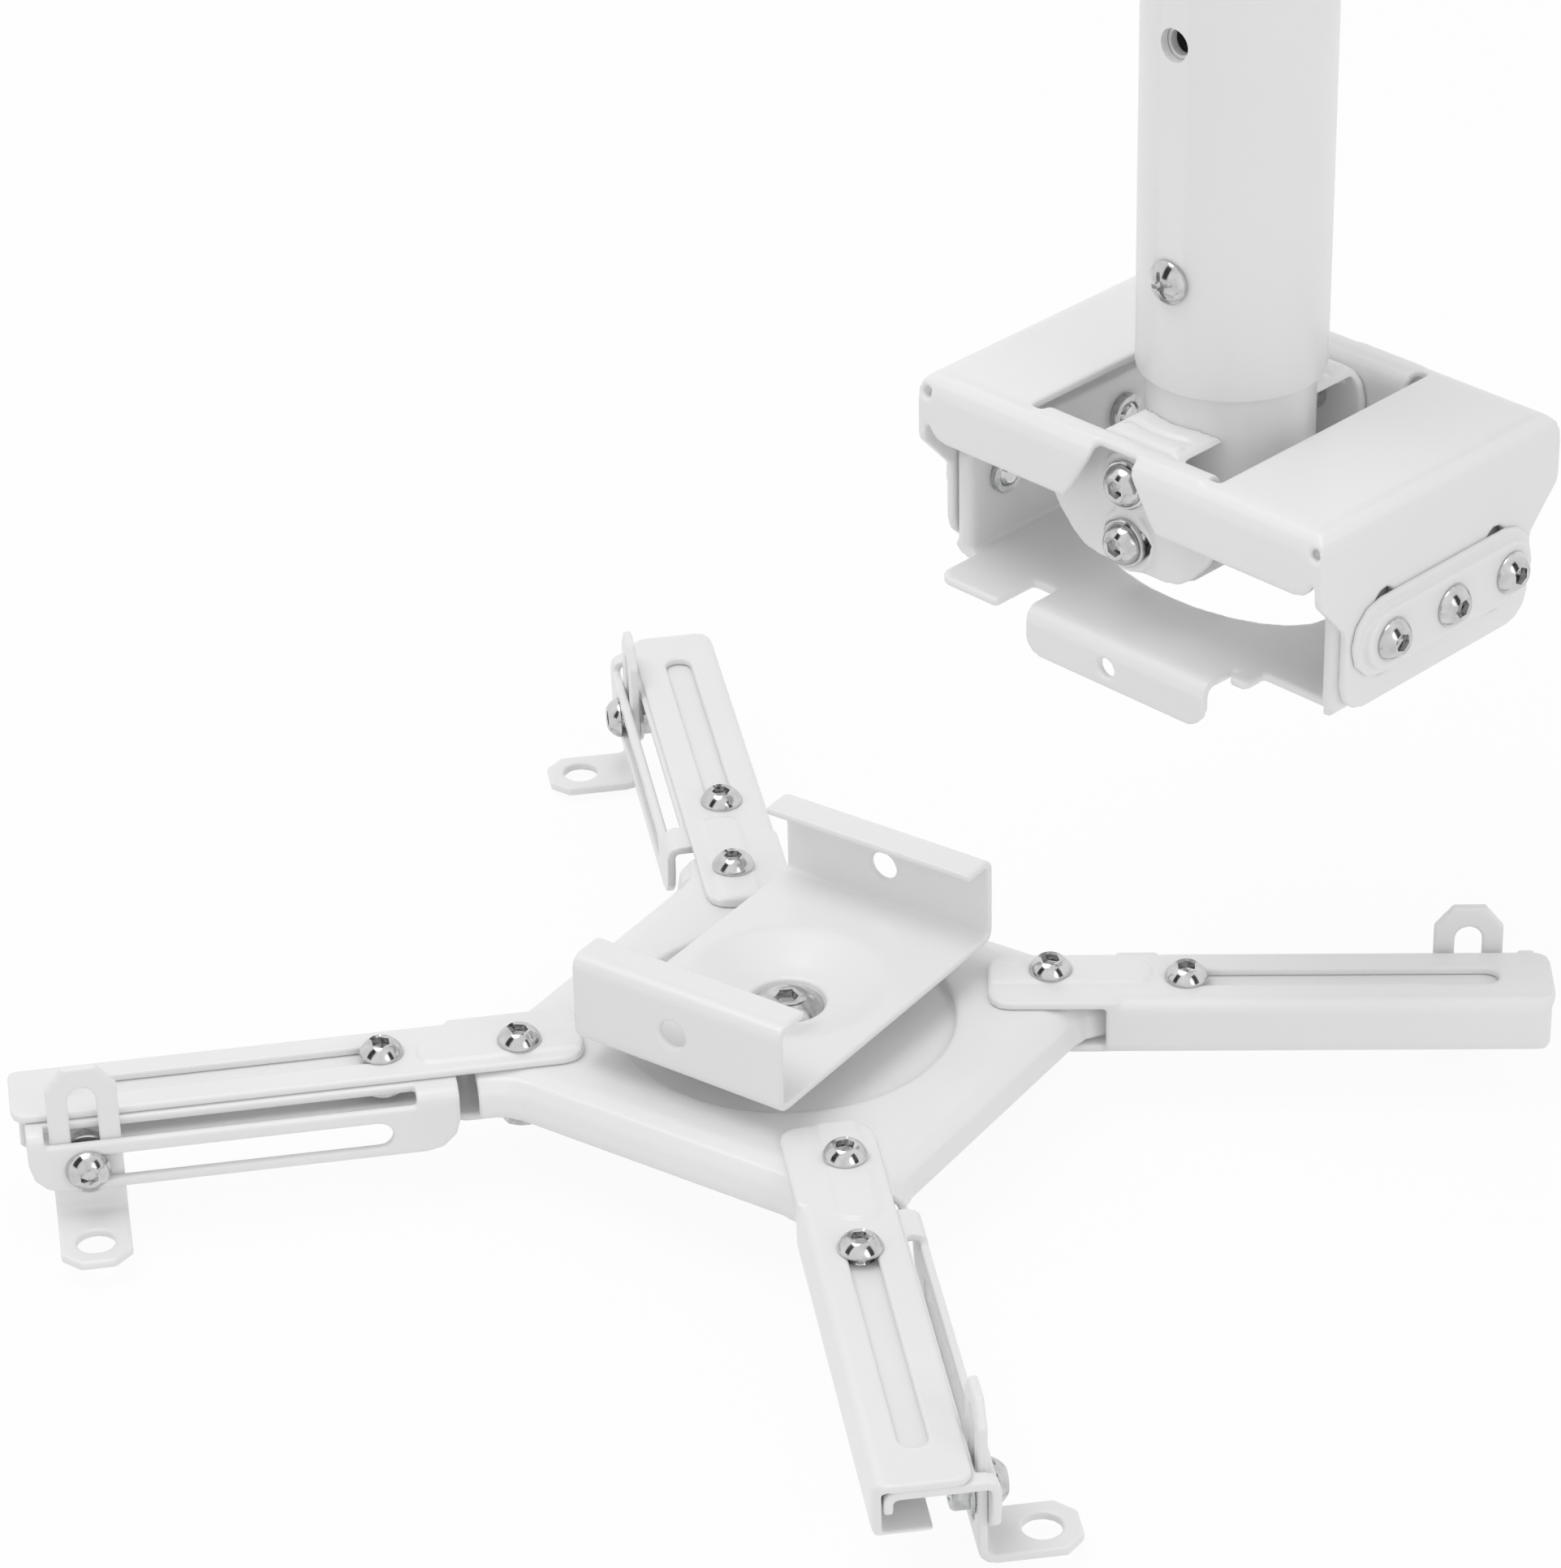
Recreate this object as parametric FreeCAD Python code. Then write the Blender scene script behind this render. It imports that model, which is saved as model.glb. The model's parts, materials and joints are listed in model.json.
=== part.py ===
import FreeCAD, Part
import math
import os
from FreeCAD import Placement, Rotation, Vector

# Projector ceiling mount: a column with a tilting head, and the four-arm spider that is
# screwed to the projector, lying below the head as taken off.
# Millimetres. The origin is on the ceiling face, on the column's axis, and +Z is up.

# Screws
m6_r = 3.0
fit_play = 0.05
m6_hole_r = m6_r + fit_play
slot_half = 3.3
button_r = 5.25
button_h = 3.3
socket_flats = 4.0
socket_depth = 1.8
nut_flats = 10.0
nut_h = 5.0
tip_out = 1.2
washer_r = 6.0
washer_t = 1.4

# Short straight steps that stand for curves, in degrees, and the sides of what is round
bend_step = 30.0
corner_step = 45.0
small_r = 2.0
hole_sides = 8
wide_hole_sides = 16
screw_sides = 8
washer_sides = 12
boss_sides = 12
dish_sides = 20
oval_sides = 24
tube_sides = 32
edge_steps = 3

# Ceiling plate and column
ceiling_side = 130.0
ceiling_t = 3.0
ceiling_corner_r = 12.0
ceiling_hole_pitch = 100.0
ceiling_hole_r = 3.5
cable_hole_r = 16.0
collar_r = 27.0
collar_h = 12.0
tube_r = 22.5
tube_wall = 2.1
tube_play = 0.3
neck_wall = 2.0
rim_drop = 430.0
tube_length = 320.0
inner_tube_length = 177.0
neck_above_rim = 110.0
neck_screw_height = 28.0
open_hole_height = 86.0
open_hole_r = 4.0
pan_r = 5.4
pan_h = 3.4
height_screw_drop = 25.0

# Tilt frame: one folded sheet, heights counted down from its top face
sheet = 2.2
head_gap = 7.4
frame_length = 124.4
head_shift = 1.85
frame_width = 85.3
side_depth = 17.0
bend_r = 5.0
slit = 0.85
tear_r = 1.4
end_overhang = 0.25
end_taper = 9.7
end_depth = 49.6
taper_top = 17.6
taper_low = 28.0
end_corner_r = 7.0
window_length = 58.0
window_width = 64.4
flap_bend_r = 4.4
flap_half = 25.5
flap_depth = 34.2
flap_low_half = 20.0
flap_low_start = 22.8
flap_corner_r = 11.0
relief_reach = 5.1
boss_r = 8.0
boss_h = 1.6
notch_half = 6.3
notch_low_half = 12.0
notch_reach = 4.2

# Roll and pitch pivots
roll_drop = 11.2
lock_radius = 15.2
roll_angle = 15.0
pitch_drop = 32.2
pitch_bolt_pitch = 21.4
pitch_slot_angle = 21.5
face_gap = 0.3

# Yoke
yoke_half = 15.0
yoke_drop = 1.5
yoke_t = 2.2
yoke_depth = 34.2
yoke_bend_r = 3.0
yoke_corner_r = 8.0
yoke_slot_half = 8.5
yoke_slot_start = 28.0

# End strips and threaded inserts
strip_length = 64.0
strip_height = 20.0
strip_rim_t = 1.6
crown_length = 59.0
crown_height = 15.0
crown_t = 2.2
insert_r = 5.0
insert_h = 2.0
bush_r = 4.6

# Cradle
cradle_drop = 49.4
cradle_end_half = 33.0
cradle_end_top = 21.4
cradle_hem_t = 5.5
cradle_hem_r = 2.5
cradle_hem_lift = 0.9
cradle_flange_face = 44.0
cradle_flange_depth = 12.5
cradle_flange_x0 = -24.7
cradle_flange_x1 = 31.0
cradle_hole_x = 1.0
cradle_hole_drop = 7.2
cradle_hole_r = 2.5
cutout_x = -2.0
cutout_a = 33.0
cutout_b = 17.0
tab_x0 = -51.0
tab_x1 = -31.4
tab_reach = 46.5
notch_in = 34.5
small_tab_x = 37.5
small_tab_reach = 36.8
waist_half = 30.0

# Spider: heights counted from the underside of the saddle's base
spider_x = -34.9
spider_y = -115.6
spider_drop = 565.3
saddle_length = 58.6
saddle_width = 89.5
saddle_height = 23.2
saddle_t = 2.0
saddle_lip = 10.5
saddle_part_z = 3.0
saddle_yaw = 10.3
saddle_hole_r = 3.65
saddle_hole_height = 11.4
saddle_hole_x = -1.0
ring_foot_r = 18.0
ring_top_r = 13.0
ring_h = 2.0
cup_r = 9.4
cup_drop = 7.0
centre_head_r = 9.0
centre_head_h = 3.2
m8_r = 4.0
m8_flats = 13.0
m8_nut_h = 6.5
m8_socket = 5.0
plate_side = 116.0
plate_top = -7.4
plate_t = 2.0
plate_rim = 10.0
plate_edge_r = 7.5
plate_yaw = 11.8
recess_r = 40.0
recess_depth = 2.0
spacer_r = 12.0
pivot_half = 45.5
ear_half = 12.3
ear_reach = 11.8
ear_blend_r = 10.0

# Arms, extensions and feet, along u outward from the pivot and v to the left of it
arm_free_edge = 10.5
arm_web_face = 11.3
arm_end = 119.6
arm_tip = 15.0
arm_web_start = 13.0
arm_web_h = 15.2
arm_lip_edge = 2.0
arm_bend_r = 3.0
arm_slot_end = 106.9
ridge_half = 5.5
ridge_end = 24.0
ridge_h = 0.8
tongue_in = 9.5
tongue_out = 16.0
pivot_offset = 2.2
clamp_u = 32.4
ext_start = 16.0
ext_end = 116.6
ext_wall_face = 16.5
ext_depth = 16.1
ext_leg_depth = 5.8
ext_corner_r = 8.0
ext_window_u0 = 26.0
ext_window_u1 = 112.5
ext_window_depth = 3.3
ext_slot_u0 = 31.9
ext_slot_u1 = 107.3
ext_slot_z = -17.6
foot_width = 16.6
foot_top = 9.0
foot_floor = -30.0
foot_reach = 19.5
foot_hole_v = 27.5
foot_hole_r = 4.5
foot_slot_top = 3.6
foot_slot_low = -25.5
foot_chamfer = 4.4
foot_chamfer_h = 5.4
foot_bend_r = 3.7
flange_nut_r = 6.5
flange_nut_t = 1.2

# Each arm's swing from the plate's diagonal, how far its extension is out, its foot bolt's place
# along the extension, and its foot's height against the left one's
arms = {
    "left": {"corner": 225.0, "swing": -2.2, "out": 0.0, "foot_u": 103.0, "foot_z": 0.0},
    "front": {"corner": 315.0, "swing": -3.3, "out": 2.4, "foot_u": 103.4, "foot_z": -1.0},
    "right": {"corner": 45.0, "swing": -13.1, "out": 0.0, "foot_u": 100.5, "foot_z": -3.0},
    "back": {"corner": 135.0, "swing": -2.1, "out": 0.0, "foot_u": 100.5, "foot_z": -3.0},
}

# Worked out from the sizes above
frame_top = -rim_drop - head_gap
tube_bore_r = tube_r - tube_wall
neck_r = tube_bore_r - tube_play
pitch_z = frame_top - pitch_drop
roll_z = frame_top - roll_drop
end_face = frame_length / 2
side_face = frame_width / 2
flap_face = window_width / 2
cheek_face = flap_face - face_gap
cradle_face = end_face - sheet - face_gap
insert_seat = cradle_face - cradle_hem_t
cradle_top = frame_top - cradle_drop
arm_top = plate_top + sheet
ext_top = plate_top
big = 500.0


def rounded(corners):
    """Points of a closed outline from (x, y, radius) corners, each rounded in short straight steps."""
    points = []
    for i, (x, y, r) in enumerate(corners):
        corner = Vector(x, y, 0)
        if r == 0:
            points.append(corner)
            continue
        back = (Vector(corners[i - 1][0], corners[i - 1][1], 0) - corner).normalize()
        following = corners[(i + 1) % len(corners)]
        ahead = (Vector(following[0], following[1], 0) - corner).normalize()
        half = back.getAngle(ahead) / 2
        centre = corner + (back + ahead).normalize() * (r / math.sin(half))
        spoke = corner + back * (r / math.tan(half)) - centre
        turn = math.copysign(math.pi - 2 * half, back.cross(spoke).z)
        step = math.radians(bend_step if r > small_r else corner_step)
        steps = max(1, math.ceil(abs(turn) / step - 0.01))
        for k in range(steps + 1):
            a = turn * k / steps
            x = spoke.x * math.cos(a) - spoke.y * math.sin(a)
            y = spoke.x * math.sin(a) + spoke.y * math.cos(a)
            points.append(centre + Vector(x, y, 0))
    return [here for i, here in enumerate(points) if here.distanceToPoint(points[i - 1]) > 1e-6]


def outline(corners):
    """Flat face in the XY plane from (x, y, radius) corners."""
    points = rounded(corners)
    return Part.Face(Part.makePolygon(points + points[:1]))


def along_z(corners, z0, z1):
    """Outline in XY, extruded from z0 to z1."""
    return outline(corners).extrude(Vector(0, 0, z1 - z0)).translated(Vector(0, 0, z0))


def along_x(corners, x0, x1):
    """Outline of (y, z) corners, extruded from x0 to x1."""
    solid = outline(corners).extrude(Vector(0, 0, x1 - x0))
    return solid.transformed(Placement(Vector(x0, 0, 0), Rotation(Vector(1, 1, 1), 120)).toMatrix())


def along_y(corners, y0, y1):
    """Outline of (x, z) corners, extruded from y0 to y1."""
    solid = outline(corners).extrude(Vector(0, 0, y1 - y0))
    return solid.transformed(Placement(Vector(0, y1, 0), Rotation(Vector(1, 0, 0), 90)).toMatrix())


def box(x0, x1, y0, y1, z0, z1):
    return Part.makeBox(x1 - x0, y1 - y0, z1 - z0, Vector(x0, y0, z0))


def rectangle(a0, a1, b0, b1, r=0.0):
    return [(a0, b0, r), (a1, b0, r), (a1, b1, r), (a0, b1, r)]


def rod(r, length, point, direction):
    return Part.makeCylinder(r, length, Vector(*point), Vector(*direction))


def turned(profile, sides):
    """Many-sided solid of revolution about Z from a closed loop of (r, z) points."""
    turns = [2 * math.pi * i / sides for i in range(sides + 1)]
    rings = [[Vector(r * math.cos(a), r * math.sin(a), z) for a in turns] for r, z in profile]
    faces = []
    for low, high in zip(rings, rings[1:] + rings[:1]):
        for i in range(sides):
            points = [low[i], low[i + 1], high[i + 1], high[i]]
            points = [here for k, here in enumerate(points) if here.distanceToPoint(points[k - 1]) > 1e-6]
            if len(points) > 2:
                faces.append(Part.Face(Part.makePolygon(points + points[:1])))
    solid = Part.Solid(Part.Shell(faces))
    if solid.Volume < 0:
        solid.reverse()
    return solid.removeSplitter()


def ring(r_out, r_in, z0, z1, sides):
    """Many-sided ring whose bore keeps its full radius between its flats."""
    bore = r_in / math.cos(math.pi / sides)
    return turned([(bore, z0), (r_out, z0), (r_out, z1), (bore, z1)], sides)


def clear_hole(r, length, point, direction, sides=hole_sides):
    """Cutter for a screw's hole under its head, with its flats at the hole's radius."""
    corner = r / math.cos(math.pi / sides)
    cutter = turned([(0, 0), (corner, 0), (corner, length), (0, length)], sides)
    return facing(cutter, point, direction)


def on_head(solid):
    """Moves what is drawn about the head's middle to its place beside the column's axis."""
    return solid.translated(Vector(head_shift, 0, 0))


def facing(solid, point, direction):
    """Turns a solid's +Z to a direction and sets it at a point."""
    turn = Rotation(Vector(0, 0, 1), Vector(*direction))
    return solid.transformed(Placement(Vector(*point), turn).toMatrix())


def mirrored_y(solid):
    return solid.mirror(Vector(0, 0, 0), Vector(0, 1, 0))


def mirrored_x(solid):
    return solid.mirror(Vector(0, 0, 0), Vector(1, 0, 0))


def hexagon(flats, height):
    """Hexagonal prism up from z = 0 with its flats facing +X and -X."""
    r = flats / math.sqrt(3)
    turns = [math.radians(30 + 60 * i) for i in range(6)]
    return along_z([(r * math.cos(a), r * math.sin(a), 0) for a in turns], 0, height)


def screw_profile(r, height, flat_r, shank_r, length):
    """Half outline of a round-headed screw whose head stands on z = 0."""
    head = [(r, 0), (r, height / 3), (flat_r, height), (0, height)]
    return [(0, -length), (shank_r, -length), (shank_r, 0)] + head


def button_bolt(length):
    return turned(screw_profile(button_r, button_h, 0.6 * button_r, m6_r, length), screw_sides)


def pan_screw(length):
    return turned(screw_profile(pan_r, pan_h, 0.7 * pan_r, m6_r, length), screw_sides)


def nut(flats, height, hole_r):
    """Hexagon nut hanging down from z = 0."""
    body = hexagon(flats, height).translated(Vector(0, 0, -height))
    return body.cut(clear_hole(hole_r, height, (0, 0, -height), (0, 0, 1)))


def washer(r, t, hole_r):
    """Flat washer hanging down from z = 0."""
    return ring(r, hole_r, -t, 0, washer_sides)


def arc_slot(radius, half_width, start, sweep, length):
    """Slot cutter bent round Z, from z = 0 up, with round ends."""
    def along(centre, r, first, last, steps):
        turns = [math.radians(first + (last - first) * i / steps) for i in range(steps + 1)]
        return [centre + Vector(r * math.cos(a), r * math.sin(a), 0) for a in turns]

    def end(angle):
        return Vector(radius * math.cos(math.radians(angle)), radius * math.sin(math.radians(angle)), 0)

    stop = start + sweep
    origin = Vector(0, 0, 0)
    points = along(origin, radius + half_width, start, stop, 3)
    points += along(end(stop), half_width, stop, stop + 180, 4)[1:-1]
    points += along(origin, radius - half_width, stop, start, 3)
    points += along(end(start), half_width, start + 180, start + 360, 4)[1:-1]
    return Part.Face(Part.makePolygon(points + points[:1])).extrude(Vector(0, 0, length))


def straight_slot(u0, u1, half_width, depth):
    """Slot cutter along X with round ends, from z = 0 down."""
    return along_z(rectangle(u0, u1, -half_width, half_width, half_width), -depth, 0)


def ceiling_plate():
    half = ceiling_side / 2
    plate = along_z(rectangle(-half, half, -half, half, ceiling_corner_r), -ceiling_t, 0)
    holes = [clear_hole(cable_hole_r, ceiling_t, (0, 0, -ceiling_t), (0, 0, 1), wide_hole_sides)]
    reach = ceiling_hole_pitch / 2
    for x in (-reach, reach):
        for y in (-reach, reach):
            holes.append(rod(ceiling_hole_r, ceiling_t, (x, y, -ceiling_t), (0, 0, 1)))
    return plate.cut(holes)


def base_collar():
    top = -ceiling_t
    low = top - collar_h
    bore = neck_r + tube_play
    middle = (bore + collar_r) / 2
    return turned([(bore, top), (collar_r, top), (collar_r, top - 3.0), (middle, low), (bore, low)], tube_sides)


def inner_tube():
    return ring(neck_r, neck_r - neck_wall, -ceiling_t - inner_tube_length, -ceiling_t, tube_sides)


def outer_tube():
    body = ring(tube_r, tube_bore_r, -rim_drop, -rim_drop + tube_length, tube_sides)
    screw_z = -rim_drop + neck_screw_height
    high_z = -rim_drop + tube_length - height_screw_drop
    holes = [
        clear_hole(m6_hole_r, tube_r, (0, -tube_r - 1, screw_z), (0, 1, 0)),
        clear_hole(open_hole_r, tube_r, (0, -tube_r - 1, -rim_drop + open_hole_height), (0, 1, 0), wide_hole_sides),
        clear_hole(m6_hole_r, 3 * tube_r, (0, -1.5 * tube_r, high_z), (0, 1, 0)),
    ]
    return body.cut(holes)


def height_screws():
    z = -rim_drop + tube_length - height_screw_drop
    screw = facing(pan_screw(tube_wall - fit_play), (0, -tube_r, z), (0, -1, 0))
    return Part.makeCompound([screw, mirrored_y(screw)])


def neck_screw():
    return facing(pan_screw(6.0), (0, -tube_r, -rim_drop + neck_screw_height), (0, -1, 0))


def neck_tube():
    foot = frame_top - yoke_depth + yoke_t
    body = ring(neck_r, neck_r - neck_wall, foot, -rim_drop + neck_above_rim, tube_sides)
    holes = []
    for height in (neck_screw_height, open_hole_height):
        holes.append(clear_hole(m6_hole_r, tube_r, (0, -tube_r, -rim_drop + height), (0, 1, 0)))
    return body.cut(holes)


def yoke():
    """Folded band: two ears on the neck, two cheeks outside them and a floor under the neck."""
    top = frame_top - yoke_drop
    low = frame_top - yoke_depth
    band = along_x(rectangle(-cheek_face, cheek_face, low, top, yoke_bend_r), -yoke_half, yoke_half)
    inner = rectangle(-cheek_face + yoke_t, cheek_face - yoke_t, low + yoke_t, top - yoke_t, yoke_bend_r - yoke_t)
    band = band.cut(along_x(inner, -yoke_half, yoke_half))
    arch = [(-yoke_half, low, 0), (yoke_half, low, 0)]
    arch += [(yoke_half, top, yoke_corner_r), (-yoke_half, top, yoke_corner_r)]
    band = band.common(along_y(arch, -cheek_face, cheek_face))
    seat = neck_r + fit_play
    cuts = [turned([(0, low + yoke_t), (seat, low + yoke_t), (seat, top + 1), (0, top + 1)], tube_sides)]
    groove = box(-yoke_slot_half, yoke_slot_half, yoke_slot_start, cheek_face + 1, top - 2 * yoke_t, top + 1)
    cuts += [groove, mirrored_y(groove)]
    for z in (roll_z, roll_z - lock_radius):
        cuts.append(clear_hole(m6_hole_r, 2 * cheek_face, (0, -cheek_face, z), (0, 1, 0)))
    return band.cut(cuts).removeSplitter()


def side_pieces(make, z):
    """One piece on the front and one on the rear of the yoke, on an axis along Y."""
    front = facing(make, (0, -flap_face - sheet - boss_h, z), (0, -1, 0))
    return Part.makeCompound([front, mirrored_y(front)])


def roll_bolts(z):
    grip = washer_t + boss_h + sheet + face_gap + yoke_t + nut_h + 0.8
    return side_pieces(button_bolt(grip).translated(Vector(0, 0, washer_t)), z)


def roll_washers(z):
    return side_pieces(washer(washer_r, washer_t, m6_hole_r).translated(Vector(0, 0, washer_t)), z)


def roll_nuts(z):
    """Round threaded bushes inside the yoke's cheeks."""
    down = boss_h + sheet + face_gap + yoke_t
    bush = ring(bush_r, m6_hole_r, -down - nut_h, -down, hole_sides)
    return side_pieces(bush, z)


def flap():
    """Front flap with its bend, its bosses, the roll pivot hole and the lock slot."""
    root = flap_face + relief_reach + sheet
    profile = [(-root, 0, 0), (-root, -sheet, 0), (-flap_face - sheet, -sheet, flap_bend_r - sheet)]
    profile += [(-flap_face - sheet, -flap_depth, 0), (-flap_face, -flap_depth, 0), (-flap_face, 0, flap_bend_r)]
    bent = along_x(profile, -flap_half, flap_half)
    shape = [(-flap_half, 0, 0), (-flap_half, -flap_low_start, flap_corner_r)]
    shape += [(-flap_low_half + 5, -flap_depth, flap_corner_r), (flap_low_half - 5, -flap_depth, flap_corner_r)]
    shape += [(flap_half, -flap_low_start, flap_corner_r), (flap_half, 0, 0)]
    bent = bent.common(along_y(shape, -root, 0))
    outer = -flap_face - sheet
    bosses = []
    for drop in (roll_drop, roll_drop + lock_radius):
        boss = turned([(0, 0), (boss_r, 0), (boss_r, sheet / 2 + boss_h), (0, sheet / 2 + boss_h)], boss_sides)
        bosses.append(facing(boss, (0, outer + sheet / 2, -drop), (0, -1, 0)))
    bent = bent.multiFuse(bosses).removeSplitter()
    slot = arc_slot(lock_radius, slot_half, 270 - roll_angle, 2 * roll_angle, root)
    slot = facing(slot, (0, 0, -roll_drop), (0, -1, 0))
    return bent.cut([slot, clear_hole(m6_hole_r, root, (0, 0, -roll_drop), (0, -1, 0))])


def end_outline():
    """Outline of the frame's end flange, (y, z), down from the top face."""
    wide = side_face + end_overhang
    narrow = wide - end_taper
    right = [(narrow, -end_depth, end_corner_r), (narrow, -taper_low, 3.0), (wide, -taper_top, 3.0)]
    right += [(wide, -bend_r, 2.0), (side_face - bend_r, -bend_r, 0)]
    return right + [(-y, z, r) for y, z, r in reversed(right)]


def tilt_frame():
    """Folded tray with a window for the column, two flaps beside the yoke and two deep end flanges."""
    x_in = end_face - sheet
    y_in = side_face - sheet

    def block(x, y, r):
        """Box under the top face, rounded along its four upper edges."""
        top = end_face - x
        ends = along_y([(-x, -end_depth, 0), (x, -end_depth, 0), (x, -top, r), (-x, -top, r)], -y, y)
        return ends.common(along_x([(-y, -end_depth, 0), (y, -end_depth, 0), (y, -top, r), (-y, -top, r)], -x, x))

    tray = block(end_face, side_face, bend_r).cut(block(x_in, y_in, bend_r - sheet))
    skirt = along_y(rectangle(-x_in, x_in, -end_depth, -bend_r), -big, big)
    side = along_y([(-x_in + slit, -side_depth, 5.0), (x_in - slit, -side_depth, 5.0),
                    (x_in - slit, 0, 0), (-x_in + slit, 0, 0)], -big, big)
    tray = tray.cut(skirt.cut(side))
    below = box(-big, big, -big, big, -end_depth - 1, -side_depth)
    ends = along_x(end_outline(), x_in, end_face)
    tray = tray.cut(below).multiFuse([ends, mirrored_x(ends)])
    reach = flap_face + relief_reach
    cuts = [box(-window_length / 2 - head_shift, window_length / 2 - head_shift, -reach, reach, -sheet, 0)]
    notch = [(-notch_half, 1, 0), (-notch_half, -4, 3.0), (-notch_low_half, -side_depth + 3, 0)]
    notch += [(-notch_low_half - 3, -side_depth - 1, 0), (notch_low_half + 3, -side_depth - 1, 0)]
    notch += [(notch_low_half, -side_depth + 3, 0), (notch_half, -4, 3.0), (notch_half, 1, 0)]
    notch = along_y(notch, -big, -side_face + notch_reach).translated(Vector(-head_shift, 0, 0))
    cuts += [notch, mirrored_y(notch)]
    for x in (-x_in + slit / 2, x_in - slit / 2):
        tear = clear_hole(tear_r, 2 * big, (x, -big, -bend_r), (0, 1, 0))
        cuts.append(tear.cut(box(-big, big, -y_in, y_in, -big, big)))
    front_flap = flap().translated(Vector(-head_shift, 0, 0))
    tray = tray.cut(cuts).multiFuse([front_flap, mirrored_y(front_flap)]).removeSplitter()
    return on_head(tray.translated(Vector(0, 0, frame_top)).cut(pitch_holes()))


def pitch_holes():
    """Pivot hole and the two arc slots of each end flange, as one cutter along X."""
    cuts = [clear_hole(m6_hole_r, 2 * end_face, (-end_face, 0, pitch_z), (1, 0, 0))]
    for start in (90, 270):
        slot = arc_slot(pitch_bolt_pitch, slot_half, start - pitch_slot_angle, 2 * pitch_slot_angle, 2 * end_face)
        cuts.append(facing(slot, (-end_face, 0, pitch_z), (1, 0, 0)))
    return cuts


def end_strip():
    """Pressed strip on the +X end: a rim with a raised crown, both with round ends."""
    def stadium(inset, x0, x1):
        r = strip_height / 2 - inset
        half = strip_length / 2 - inset
        return along_x(rectangle(-half, half, pitch_z - r, pitch_z + r, r), x0, x1)

    seat = end_face + strip_rim_t
    rim = stadium(0, end_face, seat)
    crown = stadium((strip_height - crown_height) / 2, end_face + 0.1, seat + crown_t)
    holes = [clear_hole(m6_hole_r, 20, (end_face - 1, y, pitch_z), (1, 0, 0)) for y in pitch_bolt_places()]
    return rim.fuse(crown).cut(holes)


def pitch_bolt_places():
    return [-pitch_bolt_pitch, 0, pitch_bolt_pitch]


def pitch_bolts():
    head_seat = end_face + strip_rim_t + crown_t
    length = head_seat - insert_seat + insert_h + 0.6
    bolts = [facing(button_bolt(length), (head_seat, y, pitch_z), (1, 0, 0)) for y in pitch_bolt_places()]
    return on_head(Part.makeCompound(bolts + [mirrored_x(bolt) for bolt in bolts]))


def threaded_inserts():
    one = ring(insert_r, m6_hole_r, 0, insert_h, hole_sides)
    rings = [facing(one, (insert_seat, y, pitch_z), (-1, 0, 0)) for y in pitch_bolt_places()]
    return on_head(Part.makeCompound(rings + [mirrored_x(piece) for piece in rings]))


def cradle():
    """Folded sheet that carries the spider: a floor, two end flanges hemmed double and two low side flanges."""
    low = cradle_top - sheet
    x_out = cradle_face
    x_in = x_out - sheet
    top = frame_top - cradle_end_top
    channel = [(-x_out, top, 0), (-x_out, low, 4.0), (x_out, low, 4.0), (x_out, top, 0)]
    channel += [(x_in, top, 0), (x_in, cradle_top, 4.0 - sheet), (-x_in, cradle_top, 4.0 - sheet), (-x_in, top, 0)]
    half = cradle_end_half
    body = along_y(channel, -half, half)
    hem_z = cradle_top + cradle_hem_lift
    hem = along_z(rectangle(insert_seat, x_out, -half, half, cradle_hem_r), hem_z, top)
    room = box(insert_seat, x_out, -half, half, hem_z, top)
    body = body.cut([room, mirrored_x(room)]).multiFuse([hem, mirrored_x(hem)]).removeSplitter()
    end_shape = rectangle(-half, half, low - 20, top, 5.0)
    body = on_head(body.common(along_x(end_shape, -x_out, x_out)))
    waist = box(small_tab_x, x_in + head_shift - 1.8, -half, -waist_half, low, cradle_top)
    body = body.cut([waist, mirrored_y(waist)])
    tab = [(tab_x0, -cradle_end_half + 1, 0), (tab_x0, -tab_reach, 4.0), (tab_x1, -tab_reach, 1.5)]
    tab += [(tab_x1, -cradle_end_half + 1, 0)]
    small_tab = [(cradle_flange_x1 + 1.5, -waist_half + 1, 0), (cradle_flange_x1 + 1.5, -small_tab_reach, 0.8)]
    small_tab += [(small_tab_x, -small_tab_reach, 1.5), (small_tab_x, -waist_half + 1, 0)]
    face = cradle_flange_face
    bottom = cradle_top - cradle_flange_depth
    fold = [(-cradle_end_half + 1, cradle_top, 0), (-cradle_end_half + 1, low, 0), (-face + sheet, low, 1.6)]
    fold += [(-face + sheet, bottom, 0), (-face, bottom, 0), (-face, cradle_top, 1.6 + sheet)]
    fold = along_x(fold, cradle_flange_x0, cradle_flange_x1)
    side = [(cradle_flange_x0, cradle_top, 0), (cradle_flange_x0, bottom, 5.5)]
    side += [(cradle_flange_x1, bottom, 5.5), (cradle_flange_x1, cradle_top, 0)]
    fold = fold.common(along_y(side, -face, 0))
    extras = [along_z(tab, low, cradle_top), along_z(small_tab, low, cradle_top), fold]
    body = body.multiFuse(extras + [mirrored_y(one) for one in extras]).removeSplitter()
    turns = [2 * math.pi * i / oval_sides for i in range(oval_sides)]
    oval = [(cutout_x + cutout_a * math.cos(a), cutout_b * math.sin(a), 0) for a in turns]
    oval = along_z(oval, low - 1, cradle_top + 1)
    hole_z = cradle_top - cradle_hole_drop
    holes = [oval, rod(cradle_hole_r, 2 * face, (cradle_hole_x, -face, hole_z), (0, 1, 0))]
    for y in pitch_bolt_places():
        holes.append(clear_hole(m6_hole_r, 2 * end_face, (head_shift - end_face, y, pitch_z), (1, 0, 0)))
    return body.cut(holes)


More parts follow.
